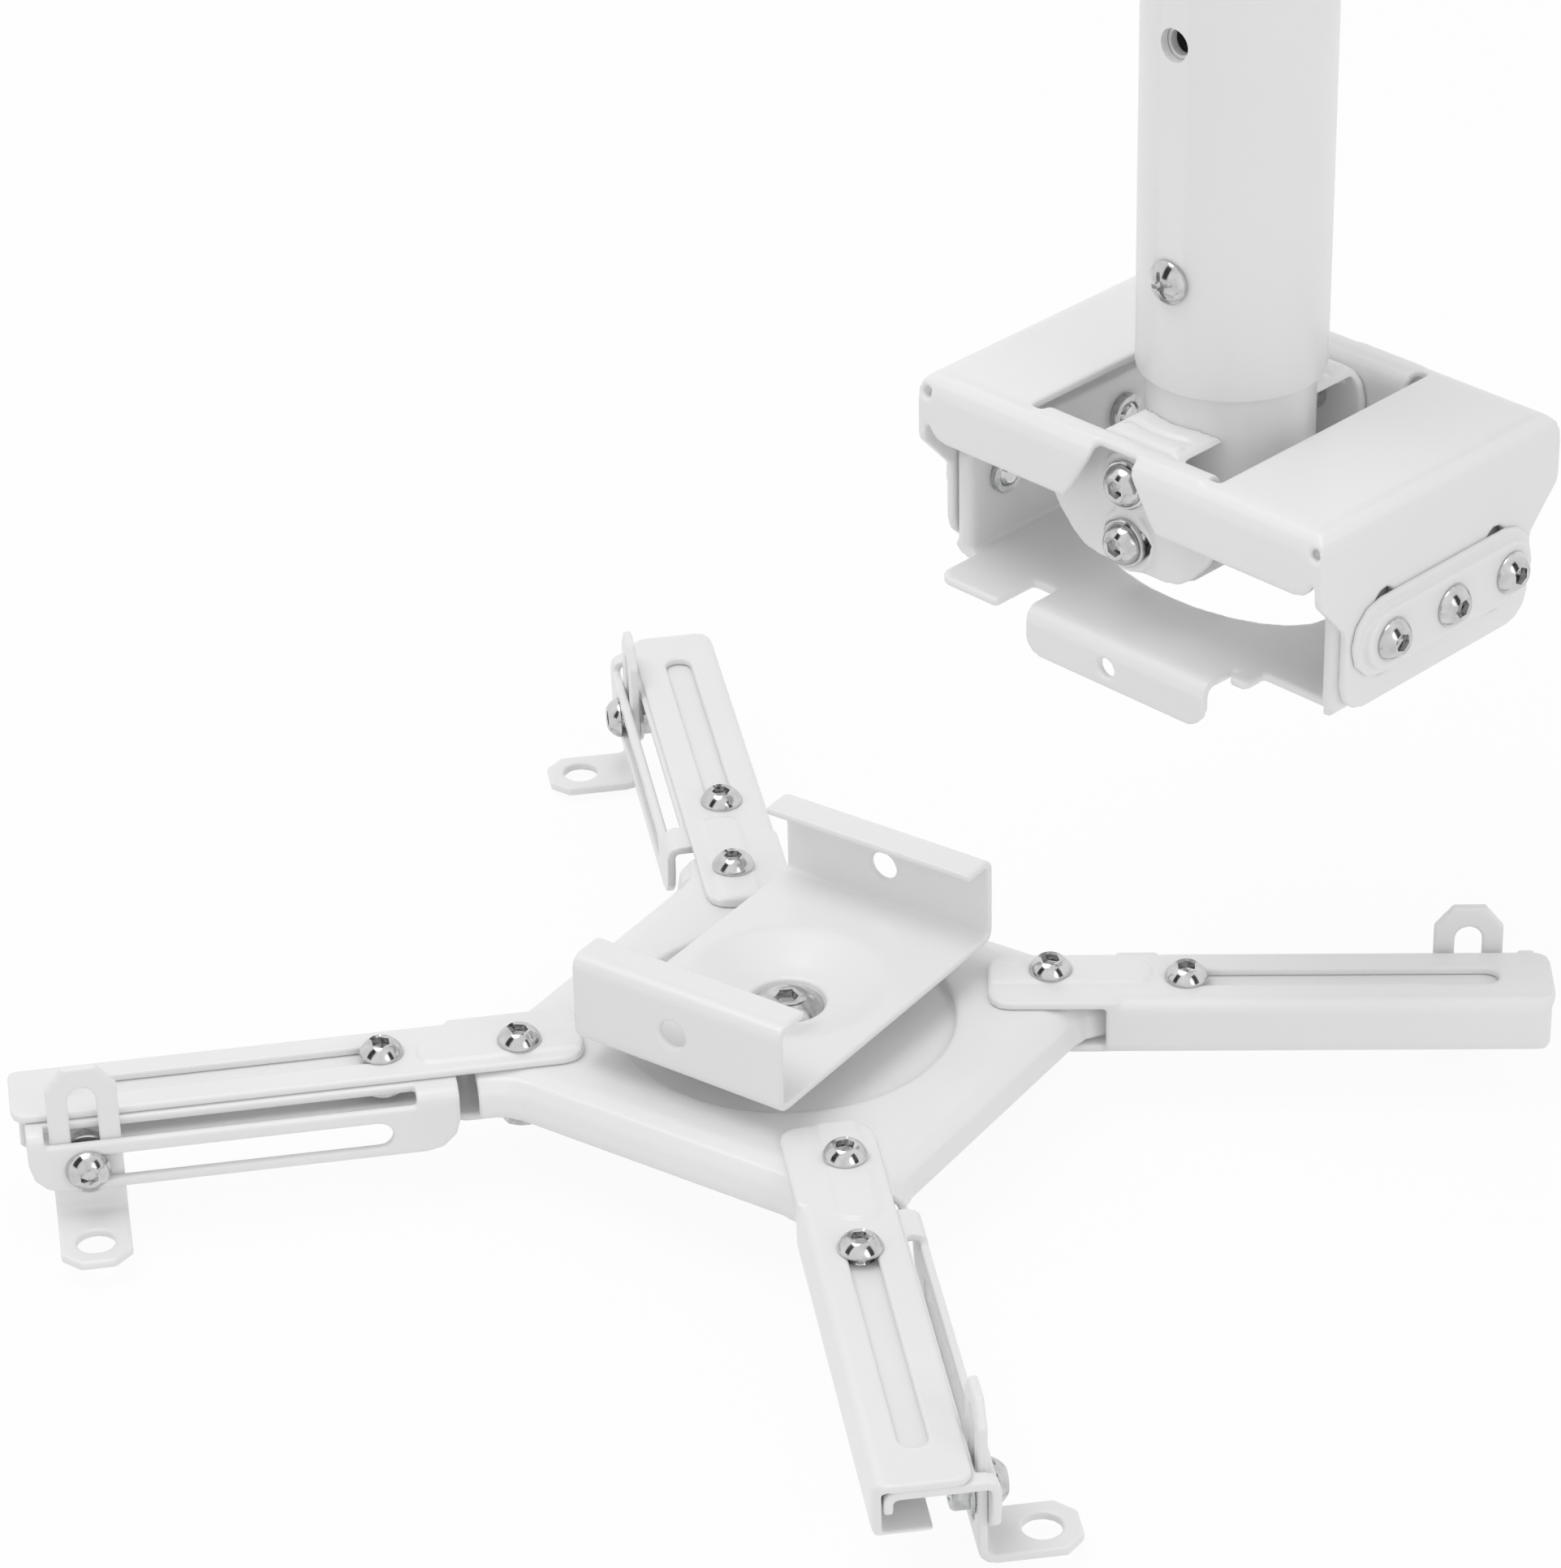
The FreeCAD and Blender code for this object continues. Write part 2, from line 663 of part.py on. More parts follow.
def on_spider(solid, yaw=0.0):
    turn = Rotation(Vector(0, 0, 1), yaw)
    return solid.transformed(Placement(Vector(spider_x, spider_y, -spider_drop), turn).toMatrix())


def saddle_parts():
    """Lipped channel with a pressed ring and a cup for the centre bolt, parted above its two bends."""
    out = saddle_width / 2
    half = saddle_length / 2
    t = saddle_t
    lip = out - saddle_lip
    top = saddle_height
    profile = [(-lip, top, 0), (-out, top, 3.0), (-out, 0, 3.0), (out, 0, 3.0), (out, top, 3.0), (lip, top, 0)]
    profile += [(lip, top - t, 0), (out - t, top - t, 1.0), (out - t, t, 1.0)]
    profile += [(-out + t, t, 1.0), (-out + t, top - t, 1.0), (-lip, top - t, 0)]
    body = along_x(profile, -half, half)
    floor = -cup_drop
    bore = (m8_r + fit_play) / math.cos(math.pi / dish_sides)
    dish = turned([
        (cup_r + t, floor), (cup_r + t, ring_h), (ring_top_r, ring_h), (ring_foot_r - 1, 0), (ring_foot_r + 1, 0),
        (ring_foot_r + 1, t), (ring_foot_r, t), (ring_top_r, ring_h + t), (cup_r, ring_h + t),
        (cup_r, floor + t), (bore, floor + t), (bore, floor),
    ], dish_sides)
    middle = turned([(0, 0), (ring_foot_r + 0.5, 0), (ring_foot_r + 0.5, t), (0, t)], dish_sides)
    body = body.cut(middle).fuse(dish).removeSplitter()
    hole = rod(saddle_hole_r, saddle_width, (saddle_hole_x, -out, saddle_hole_height), (0, 1, 0))
    body = body.cut(hole)
    front = box(-half, half, -out, -ring_foot_r - t, saddle_part_z, top)
    rear = mirrored_y(front)
    parts = {
        "saddle_base": body.cut([front, rear]),
        "saddle_front_wall": body.common(front),
        "saddle_rear_wall": body.common(rear),
    }
    return {name: on_spider(part, saddle_yaw) for name, part in parts.items()}


def centre_bolt():
    seat = -cup_drop + saddle_t
    length = seat - plate_top + recess_depth + plate_t + m8_nut_h + 1.0
    bolt = turned(screw_profile(centre_head_r, centre_head_h, 0.6 * centre_head_r, m8_r, length), washer_sides)
    return on_spider(bolt.translated(Vector(0, 0, seat)))


def centre_washer():
    height = -cup_drop - plate_top + recess_depth
    return on_spider(washer(spacer_r, height, m8_r + fit_play).translated(Vector(0, 0, -cup_drop)))


def centre_nut():
    return on_spider(nut(m8_flats, m8_nut_h, m8_r + fit_play).translated(Vector(0, 0, plate_top - recess_depth - plate_t)))


def plate_outline(inset):
    """Points of the plate's outline drawn in: a square with an ear on each corner."""
    half = plate_side / 2 - inset
    width = ear_half - inset
    root = half * math.sqrt(2) - width
    reach = pivot_half * math.sqrt(2) + ear_reach
    corners = []
    for corner in (45, 135, 225, 315):
        a = math.radians(corner)
        along, across = Vector(math.cos(a), math.sin(a), 0), Vector(-math.sin(a), math.cos(a), 0)
        for u, v, r in ((root, -width, ear_blend_r + inset), (reach, -width, 0), (reach, width, 0),
                        (root, width, ear_blend_r + inset)):
            place = along * u + across * v
            corners.append((place.x, place.y, r))
    return rounded(corners)


def dished(inset, z0, z1):
    """Block of the plate's outline, rounded along its top edge in short straight steps."""
    r = plate_edge_r - inset
    turns = [math.radians(90 * i / edge_steps) for i in range(edge_steps + 1)]
    levels = [(inset, z0)] + [(inset + r - r * math.cos(a), z1 - r + r * math.sin(a)) for a in turns]
    rings = [[point + Vector(0, 0, z) for point in plate_outline(step)] for step, z in levels]
    faces = [Part.Face(Part.makePolygon(one + one[:1])) for one in (rings[0], rings[-1])]
    for low, high in zip(rings, rings[1:]):
        for i in range(len(low)):
            faces.append(Part.Face(Part.makePolygon([low[i - 1], low[i], high[i], high[i - 1], low[i - 1]])))
    solid = Part.Solid(Part.Shell(faces))
    if solid.Volume < 0:
        solid.reverse()
    return solid


def spider_plate():
    """Pressed tray: a flat top with a round recess, a skirt, and an open-ended ear under each arm."""
    low = plate_top - plate_rim
    t = plate_t
    dip = turned([(0, 0), (recess_r, 0), (recess_r, recess_depth + 1), (0, recess_depth + 1)], dish_sides)
    body = dished(0, low, plate_top).cut(dip.translated(Vector(0, 0, plate_top - recess_depth)))
    dip = turned([(0, 0), (recess_r + t, 0), (recess_r + t, recess_depth), (0, recess_depth)], dish_sides)
    under = dished(t, low - 1, plate_top - t).cut(dip.translated(Vector(0, 0, plate_top - t - recess_depth)))
    body = body.cut(under)
    holes = [clear_hole(m8_r + fit_play, 2 * plate_rim, (0, 0, low), (0, 0, 1), washer_sides)]
    for x, y in pivot_places():
        holes.append(clear_hole(m6_hole_r, 2 * plate_rim, (x, y, low), (0, 0, 1)))
    return on_spider(body.cut(holes), plate_yaw)


def pivot_places():
    reach = pivot_half * math.sqrt(2)
    turns = [math.radians(arm["corner"]) for arm in arms.values()]
    return [(reach * math.cos(a), reach * math.sin(a)) for a in turns]


def pivot_bolts():
    length = ridge_h + arm_web_h + nut_h + tip_out
    bolts = [button_bolt(length).translated(Vector(x, y, arm_top + ridge_h)) for x, y in pivot_places()]
    return on_spider(Part.makeCompound(bolts), plate_yaw)


def pivot_nuts():
    one = nut(nut_flats, nut_h, m6_hole_r)
    nuts = [one.translated(Vector(x, y, arm_top - arm_web_h)) for x, y in pivot_places()]
    return on_spider(Part.makeCompound(nuts), plate_yaw)


def on_arm(solid, arm, out=0.0):
    """Moves a solid from the arm's own frame, whose slot line is y = 0, to its pivot on the plate."""
    heading = math.radians(plate_yaw + arm["corner"])
    reach = pivot_half * math.sqrt(2)
    pivot = Vector(spider_x + reach * math.cos(heading), spider_y + reach * math.sin(heading), -spider_drop)
    turn = Rotation(Vector(0, 0, 1), plate_yaw + arm["corner"] + arm["swing"])
    local = solid.translated(Vector(out, -pivot_offset, 0))
    return local.transformed(Placement(pivot, turn).toMatrix())


def arm_channel():
    """Folded channel on its side: a slotted top flange, a web, a narrow lip and a tongue under the plate."""
    out = arm_free_edge
    web = -arm_web_face
    low = arm_top - arm_web_h
    t = sheet
    r = arm_bend_r
    section = [(out, arm_top, 0), (web, arm_top, r), (web, low, r), (arm_lip_edge, low, 0)]
    section += [(arm_lip_edge, low + t, 0), (web + t, low + t, r - t), (web + t, arm_top - t, r - t)]
    section += [(out, arm_top - t, 0)]
    channel = along_x(section, arm_web_start, arm_end)
    flat = along_z(rectangle(-arm_tip, arm_web_start + r, web, out), arm_top - t, arm_top)
    shape = [(-arm_tip, web, 5.0), (arm_end, web, 4.0), (arm_end, out, 4.0), (-arm_tip, out, 5.5)]
    body = channel.fuse(flat).common(along_z(shape, low, arm_top))
    side = [(-arm_tip, arm_top, 0), (-arm_tip, low, 0), (arm_end, low, 5.0), (arm_end, arm_top, 0)]
    body = body.common(along_y(side, web, out))
    tongue = [(tongue_out + 4, web + r, 0), (tongue_out + 4, arm_lip_edge, 0), (tongue_out, out, 4.0)]
    tongue += [(-tongue_in, out, 9.0), (-tongue_in, web + r / 2, 9.0)]
    tongue += [(arm_web_start, web + r / 2, 0), (arm_web_start, web + r, 0)]
    ridge = [(-ridge_half, 0, 0), (ridge_half, 0, 0), (ridge_half - 1.5, ridge_h, 0), (1.5 - ridge_half, ridge_h, 0)]
    ridge = along_x(ridge, -arm_tip + 0.6, ridge_end)
    ridge = ridge.common(along_z(rectangle(-2 * arm_tip, ridge_end, -ridge_half, ridge_half, 5.0), 0, ridge_h))
    extras = [along_z(tongue, low, low + t), ridge.translated(Vector(0, pivot_offset, arm_top))]
    body = body.multiFuse(extras).removeSplitter()
    slot = straight_slot(clamp_u - slot_half, arm_slot_end, slot_half, t).translated(Vector(0, 0, arm_top))
    hole = clear_hole(m6_hole_r, 2 * sheet, (0, pivot_offset, arm_top - sheet), (0, 0, 1))
    low_hole = clear_hole(m6_hole_r, 2 * sheet, (0, pivot_offset, low - 1), (0, 0, 1))
    return body.cut([slot, hole, low_hole])


def extension_channel():
    inner = -arm_web_face + sheet + face_gap
    outer = ext_wall_face
    low = ext_top - ext_depth
    leg = ext_top - ext_leg_depth
    t = sheet
    r = arm_bend_r
    section = [(inner, leg, 0), (inner, ext_top, r), (outer, ext_top, r), (outer, low, 0), (outer - t, low, 0)]
    section += [(outer - t, ext_top - t, r - t), (inner + t, ext_top - t, r - t), (inner + t, leg, 0)]
    body = along_x(section, ext_start, ext_end)
    wall = [(ext_start, low, ext_corner_r), (ext_end, low, ext_corner_r), (ext_end, ext_top, 0), (ext_start, ext_top, 0)]
    body = body.common(along_y(wall, inner, outer))
    window = box(ext_window_u0, ext_window_u1, outer - t - sheet - 0.6, outer, ext_top - ext_window_depth, ext_top)
    slot = straight_slot(ext_slot_u0, ext_slot_u1, slot_half, 3 * t)
    slot = slot.transformed(Placement(Vector(0, outer - 2 * t, ext_slot_z), Rotation(Vector(1, 0, 0), 90)).toMatrix())
    hole = clear_hole(m6_hole_r, 2 * t, (clamp_u, 0, ext_top - 1.5 * t), (0, 0, 1))
    return body.cut([window, slot, hole])


def clamp_bolt():
    length = 2 * sheet + nut_h + tip_out
    return button_bolt(length).translated(Vector(clamp_u, 0, arm_top))


def clamp_nut():
    turned_nut = nut(nut_flats, nut_h, m6_hole_r)
    turned_nut.rotate(Vector(0, 0, 0), Vector(0, 0, 1), 90)
    return turned_nut.translated(Vector(clamp_u, 0, ext_top - sheet))


def foot_tab(u):
    """L-shaped tab inside the extension's wall, with a slot for its bolt and a hole for the projector's screw."""
    outer = ext_wall_face - sheet
    inner = outer - sheet
    end = outer + foot_reach + sheet
    low = foot_floor - sheet
    section = [(inner, foot_top, 0), (inner, low, foot_bend_r), (end, low, 0), (end, foot_floor, 0)]
    section += [(outer, foot_floor, foot_bend_r - sheet), (outer, foot_top, 0)]
    half = foot_width / 2
    side = half - foot_chamfer
    body = along_x(section, -half, half)
    upright = [(-half, low, 0), (half, low, 0), (half, foot_top - foot_chamfer_h, 0), (side, foot_top, 0)]
    upright += [(-side, foot_top, 0), (-half, foot_top - foot_chamfer_h, 0)]
    body = body.common(along_y(upright, inner, end))
    plan = [(-half, inner, 0), (half, inner, 0), (half, end - foot_chamfer, 0), (side, end, 0)]
    plan += [(-side, end, 0), (-half, end - foot_chamfer, 0)]
    body = body.common(along_z(plan, low, foot_top))
    slot = along_y(rectangle(-slot_half, slot_half, foot_slot_low, foot_slot_top, slot_half), inner, outer)
    hole = rod(foot_hole_r, 2 * sheet, (0, foot_hole_v, low - 1), (0, 0, 1))
    return body.cut([slot, hole]).translated(Vector(u, 0, 0))


def foot_bolt(u):
    length = 2 * sheet + nut_h + 0.4
    return facing(button_bolt(length), (u, ext_wall_face, ext_slot_z), (0, 1, 0))


def foot_nut(u):
    flange = ring(flange_nut_r, m6_hole_r, -flange_nut_t, 0, hole_sides)
    body = nut(nut_flats, nut_h, m6_hole_r).fuse(flange).removeSplitter()
    return facing(body, (u, ext_wall_face - 2 * sheet, ext_slot_z), (0, 1, 0))


def spider_arms():
    """All the pieces of the four arms, by node name."""
    pieces = {}
    for side, arm in arms.items():
        out = arm["out"]
        u = arm["foot_u"]
        pieces[side + "_arm"] = on_arm(arm_channel(), arm)
        pieces[side + "_extension"] = on_arm(extension_channel(), arm, out)
        pieces[side + "_clamp_bolt"] = on_arm(clamp_bolt(), arm, out)
        pieces[side + "_clamp_nut"] = on_arm(clamp_nut(), arm, out)
        pieces[side + "_foot_tab"] = on_arm(foot_tab(u).translated(Vector(0, 0, arm["foot_z"])), arm, out)
        pieces[side + "_foot_bolt"] = on_arm(foot_bolt(u), arm, out)
        pieces[side + "_foot_nut"] = on_arm(foot_nut(u), arm, out)
    return pieces


def all_pieces():
    strip = end_strip()
    lock_z = roll_z - lock_radius
    pieces = {
        "ceiling_plate": ceiling_plate(),
        "base_collar": base_collar(),
        "inner_tube": inner_tube(),
        "outer_tube": outer_tube(),
        "height_screws": height_screws(),
        "neck_screw": neck_screw(),
        "neck_tube": neck_tube(),
        "yoke": yoke(),
        "roll_pivot_bolts": roll_bolts(roll_z),
        "roll_pivot_washers": roll_washers(roll_z),
        "roll_pivot_nuts": roll_nuts(roll_z),
        "roll_lock_bolts": roll_bolts(lock_z),
        "roll_lock_washers": roll_washers(lock_z),
        "roll_lock_nuts": roll_nuts(lock_z),
        "tilt_frame": tilt_frame(),
        "end_strip_right": on_head(strip),
        "end_strip_left": on_head(mirrored_x(strip)),
        "pitch_bolts": pitch_bolts(),
        "threaded_inserts": threaded_inserts(),
        "cradle": cradle(),
        "centre_bolt": centre_bolt(),
        "centre_washer": centre_washer(),
        "centre_nut": centre_nut(),
        "spider_plate": spider_plate(),
        "pivot_bolts": pivot_bolts(),
        "pivot_nuts": pivot_nuts(),
    }
    pieces.update(saddle_parts())
    pieces.update(spider_arms())
    return pieces


os.makedirs("parts", exist_ok=True)
for name, solid in all_pieces().items():
    solid.exportStep("parts/" + name + ".step")
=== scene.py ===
import json
import math

import bmesh
import bpy
from mathutils import Matrix, Vector


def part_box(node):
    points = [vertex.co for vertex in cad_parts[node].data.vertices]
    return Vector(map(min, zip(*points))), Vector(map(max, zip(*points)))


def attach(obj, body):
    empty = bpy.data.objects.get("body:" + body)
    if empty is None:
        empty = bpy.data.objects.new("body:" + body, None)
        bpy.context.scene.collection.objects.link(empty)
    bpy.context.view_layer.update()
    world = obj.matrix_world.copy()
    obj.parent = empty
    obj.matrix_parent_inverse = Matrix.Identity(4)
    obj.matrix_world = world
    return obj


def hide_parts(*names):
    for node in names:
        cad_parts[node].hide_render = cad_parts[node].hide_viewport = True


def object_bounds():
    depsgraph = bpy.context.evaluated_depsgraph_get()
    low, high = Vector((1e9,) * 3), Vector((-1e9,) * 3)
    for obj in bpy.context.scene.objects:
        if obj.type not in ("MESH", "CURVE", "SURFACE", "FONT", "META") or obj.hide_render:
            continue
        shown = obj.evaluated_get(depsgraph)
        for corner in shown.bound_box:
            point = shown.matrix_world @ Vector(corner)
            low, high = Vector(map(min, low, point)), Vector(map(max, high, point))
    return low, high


# Projector ceiling mount. Pieces are drawn in millimetres and scaled once when they are finished.
# The origin is on the ceiling face, on the column's axis, and +Z is up.
MM = 0.001
ROUND_STEPS = 96

# The photograph's camera
CAMERA_PLACE = (734.12, -866.21, 134.96)
CAMERA_AZIMUTH = 45.707
CAMERA_HEIGHT_ANGLE = 30.92
CAMERA_ROLL = -1.407
CAMERA_LENS = 124.27

# Screws, nuts and washers
M6_R = 3.0
M8_R = 4.0
BORE_GAP = 0.05
THREAD_PITCH = 1.0
THREAD_DEPTH = 0.45
BUTTON_R = 5.25
BUTTON_H = 3.3
BUTTON_FLAT_R = 0.56 * BUTTON_R
SOCKET_FLATS = 4.0
SOCKET_DEPTH = 2.0
NUT_FLATS = 10.0
NUT_H = 5.0
NUT_FLANGE_R = 6.5
NUT_FLANGE_T = 1.2
NUT_CHAMFER = 0.45
WASHER_R = 6.0
WASHER_T = 1.4
PAN_R = 5.4
PAN_H = 3.4
CROSS_WIDTH = 1.1
CROSS_LENGTH = 6.4
CROSS_DEPTH = 1.5
THREAD_OUT = 1.2
FOOT_THREAD_OUT = 0.4

# Column, with its screws and holes measured up from its foot
COLUMN_FOOT = -430.0
TUBE_R = 22.5
TUBE_WALL = 2.1
TUBE_LENGTH = 320.0
NECK_R = 20.1
NECK_WALL = 2.0
NECK_UP = 110.0
NECK_SCREW_UP = 28.0
NECK_SCREW_LENGTH = 6.0
OPEN_HOLE_UP = 86.0
OPEN_HOLE_R = 4.0
HEIGHT_SCREW_UP = 295.0
HEIGHT_SCREW_LENGTH = 2.05
HOLE_GAP = 0.1
PLATE_UNDER = -3.0
INNER_FOOT = -180.0
COLLAR_FOOT = -15.0
COLLAR_BORE_R = 20.4

# Head
FRAME_TOP = -437.4
ROLL_Z = FRAME_TOP - 11.2
LOCK_Z = ROLL_Z - 15.2
PITCH_Z = FRAME_TOP - 32.2
PITCH_BOLT_PITCH = 21.4
FLAP_OUTER = 34.4
BOSS_H = 1.6
SHEET = 2.2
YOKE_T = 2.2
YOKE_TOP = FRAME_TOP - 1.5
CHEEK_FACE = 31.9
EAR_WIDTH = 19.0
EAR_DEPTH = 4.4
EAR_HEIGHT = 4.6
GROOVE_R = 25.8
GROOVE_WIRE_R = 1.3
FACE_GAP = 0.3
HEAD_SHIFT = 1.85
CROWN_FACE = 66.0
INSERT_SEAT = 54.2
INSERT_R = 5.0
INSERT_H = 2.0
BUSH_R = 4.6
ROLL_SCREW_LENGTH = 13.5

# Spider
SPIDER = (-34.9, -115.6, -565.3)
SADDLE_YAW = 10.3
SADDLE_SHEET = 2.0
CUP_FLOOR = -7.0
CUP_R = 9.3
DISH_R = 25.4
PLATE_YAW = 11.8
PLATE_TOP = -7.4
PLATE_DEPTH = 4.0
RECESS_R = 40.0
RECESS_DEPTH = 1.97
ARM_TOP = -5.2
ARM_WEB_H = 15.2
RIDGE_H = 0.8
PIVOT_REACH = 45.5 * math.sqrt(2)
PIVOT_OFFSET = 2.2
CLAMP_U = 32.4
EXT_WALL = 16.5
EXT_SLOT_Z = -17.6
CENTRE_R = 8.8
CENTRE_H = 3.2
CENTRE_FLAT_R = 4.6
CENTRE_LENGTH = 13.9
CENTRE_SOCKET_FLATS = 5.0
CENTRE_SOCKET_DEPTH = 2.2
CENTRE_NUT_FLATS = 13.0
CENTRE_NUT_H = 6.5
CENTRE_WASHER_R = 12.0
CENTRE_WASHER_T = 2.4
ARMS = {
    "left": {"corner": 225.0, "swing": -2.2, "out": 0.0, "foot_u": 103.0},
    "front": {"corner": 315.0, "swing": -3.3, "out": 2.4, "foot_u": 103.4},
    "right": {"corner": 45.0, "swing": -13.1, "out": 0.0, "foot_u": 100.5},
    "back": {"corner": 135.0, "swing": -2.1, "out": 0.0, "foot_u": 100.5},
}


# Materials

def new_material(name):
    material = bpy.data.materials.new(name)
    material.use_nodes = True
    nodes = material.node_tree.nodes
    links = material.node_tree.links
    return material, nodes, links, nodes["Principled BSDF"]


def noise(nodes, links, scale, detail=2.0):
    place = nodes.new("ShaderNodeTexCoord")
    grain = nodes.new("ShaderNodeTexNoise")
    grain.inputs["Scale"].default_value = scale
    grain.inputs["Detail"].default_value = detail
    links.new(place.outputs["Object"], grain.inputs["Vector"])
    return grain.outputs["Fac"]


def spread(nodes, links, value, low, high):
    """Turns a noise value into a range between two numbers."""
    out = nodes.new("ShaderNodeMapRange")
    out.inputs["From Min"].default_value = 0.3
    out.inputs["From Max"].default_value = 0.7
    out.inputs["To Min"].default_value = low
    out.inputs["To Max"].default_value = high
    links.new(value, out.inputs["Value"])
    return out.outputs["Result"]


def tinted(nodes, links, value, dark, light):
    """Colour that drifts between two shades with a noise value."""
    ramp = nodes.new("ShaderNodeValToRGB")
    ramp.color_ramp.elements[0].position = 0.35
    ramp.color_ramp.elements[1].position = 0.65
    ramp.color_ramp.elements[0].color = (*dark, 1.0)
    ramp.color_ramp.elements[1].color = (*light, 1.0)
    links.new(value, ramp.inputs["Fac"])
    return ramp.outputs["Color"]


def bumped(nodes, links, shader, value, depth):
    bump = nodes.new("ShaderNodeBump")
    bump.inputs["Distance"].default_value = depth
    bump.inputs["Strength"].default_value = 1.0
    links.new(value, bump.inputs["Height"])
    links.new(bump.outputs["Normal"], shader.inputs["Normal"])


def grey(value):
    return (value, value, value)


def steel(name, cloud, shades, marks, gloss, grain, depth, detail=2.0):
    """Material whose shade, roughness and height each drift with a noise of their own scale."""
    material, nodes, links, shader = new_material(name)
    links.new(tinted(nodes, links, noise(nodes, links, cloud), *shades), shader.inputs["Base Color"])
    links.new(spread(nodes, links, noise(nodes, links, marks), *gloss), shader.inputs["Roughness"])
    bumped(nodes, links, shader, noise(nodes, links, grain, detail), depth)
    return material, shader


def white_coat():
    """Thick baked powder coat: a faint orange peel under a soft gloss."""
    shades = (grey(0.845), grey(0.865))
    material, shader = steel("white_powder_coat", 14.0, shades, 60.0, (0.34, 0.42), 520.0, 0.00002, 3.0)
    shader.inputs["Coat Weight"].default_value = 0.25
    shader.inputs["Coat Roughness"].default_value = 0.12
    return material


def chrome():
    """Bright plated steel with fine handling marks."""
    shades = (grey(0.52), grey(0.64))
    material, shader = steel("bright_chrome", 300.0, shades, 900.0, (0.10, 0.18), 1500.0, 0.000006)
    shader.inputs["Metallic"].default_value = 1.0
    return material


def zinc():
    """Plain zinc-plated steel, duller than the chrome."""
    shades = ((0.44, 0.45, 0.46), grey(0.60))
    material, shader = steel("zinc_plate", 400.0, shades, 700.0, (0.24, 0.36), 1100.0, 0.00001)
    shader.inputs["Metallic"].default_value = 1.0
    return material


# Shapes in bmesh

def ring_edges(bm, r, z, steps, sides=0):
    """Loop of edges at height z: a circle, or a polygon whose sides are divided evenly."""
    count = sides if sides else steps
    circle = bmesh.ops.create_circle(bm, segments=count, radius=r, matrix=Matrix.Translation((0, 0, z)))
    edges = list({edge for vert in circle["verts"] for edge in vert.link_edges})
    if sides:
        bmesh.ops.subdivide_edges(bm, edges=edges, cuts=steps // sides - 1)
        edges = list({e for e in bm.edges if e.is_wire and all(abs(v.co.z - z) < 1e-6 for v in e.verts)})
    return edges


def drawn(bm, edges, drop, scale=1.0):
    """Extrudes a loop of edges down by a drop, scaled about Z, and gives the new loop."""
    new = bmesh.ops.extrude_edge_only(bm, edges=edges)["geom"]
    verts = [item for item in new if isinstance(item, bmesh.types.BMVert)]
    bmesh.ops.translate(bm, verts=verts, vec=(0, 0, -drop))
    if scale != 1.0:
        bmesh.ops.scale(bm, verts=verts, vec=(scale, scale, 1.0))
    return [item for item in new if isinstance(item, bmesh.types.BMEdge)]


def spun(bm, profile, closed=False):
    """Turns a profile of (r, z) points about Z."""
    verts = [bm.verts.new((r, 0, z)) for r, z in profile]
    pairs = list(zip(verts, verts[1:]))
    if closed:
        pairs.append((verts[-1], verts[0]))
    edges = [bm.edges.new(pair) for pair in pairs]
    bmesh.ops.spin(bm, geom=verts + edges, cent=(0, 0, 0), axis=(0, 0, 1), angle=2 * math.pi,
                   steps=ROUND_STEPS, use_merge=True)
    bmesh.ops.remove_doubles(bm, verts=bm.verts, dist=1e-5)


def open_loop(bm, z):
    """Boundary edges at height z."""
    return [e for e in bm.edges if e.is_boundary and all(abs(v.co.z - z) < 1e-4 for v in e.verts)]


def thread(r, low, high):
    """Profile points of a thread, drawn as rings, from a chamfered tip at z = low up to z = high."""
    points = [(0.0, low), (r - 0.9, low), (r - 0.2, low + 0.7)]
    z = low + 1.0
    while z + THREAD_PITCH < high:
        points += [(r, z), (r - THREAD_DEPTH, z + THREAD_PITCH / 2)]
        z += THREAD_PITCH
    return points + [(r, z), (r, high)]


def dome(r, height, rim, flat_r, count=10):
    """Profile points of a round head from its underside, over the dome, to the edge of its flat."""
    centre = (flat_r ** 2 + height ** 2 - r ** 2 - rim ** 2) / (2 * (height - rim))
    ball_r = math.hypot(r, rim - centre)
    low = math.atan2(rim - centre, r)
    high = math.atan2(height - centre, flat_r)
    points = [(r - 0.25, 0.0), (r, 0.2)]
    for i in range(count + 1):
        a = low + (high - low) * i / count
        points.append((ball_r * math.cos(a), centre + ball_r * math.sin(a)))
    return points


def socket_head_screw(r, height, rim, flat_r, shank_r, length, flats, depth):
    """Domed screw with a hexagon socket, its head standing on z = 0."""
    bm = bmesh.new()
    spun(bm, thread(shank_r, -length, -0.4) + [(shank_r, 0.0)] + dome(r, height, rim, flat_r))
    corner = flats / math.sqrt(3)
    mouth = ring_edges(bm, corner, height - 0.25, ROUND_STEPS, sides=6)
    bmesh.ops.bridge_loops(bm, edges=open_loop(bm, height) + mouth)
    wall = drawn(bm, mouth, depth - 0.25)
    cone = drawn(bm, wall, 0.5, 0.05)
    bmesh.ops.holes_fill(bm, edges=cone, sides=0)
    return bm


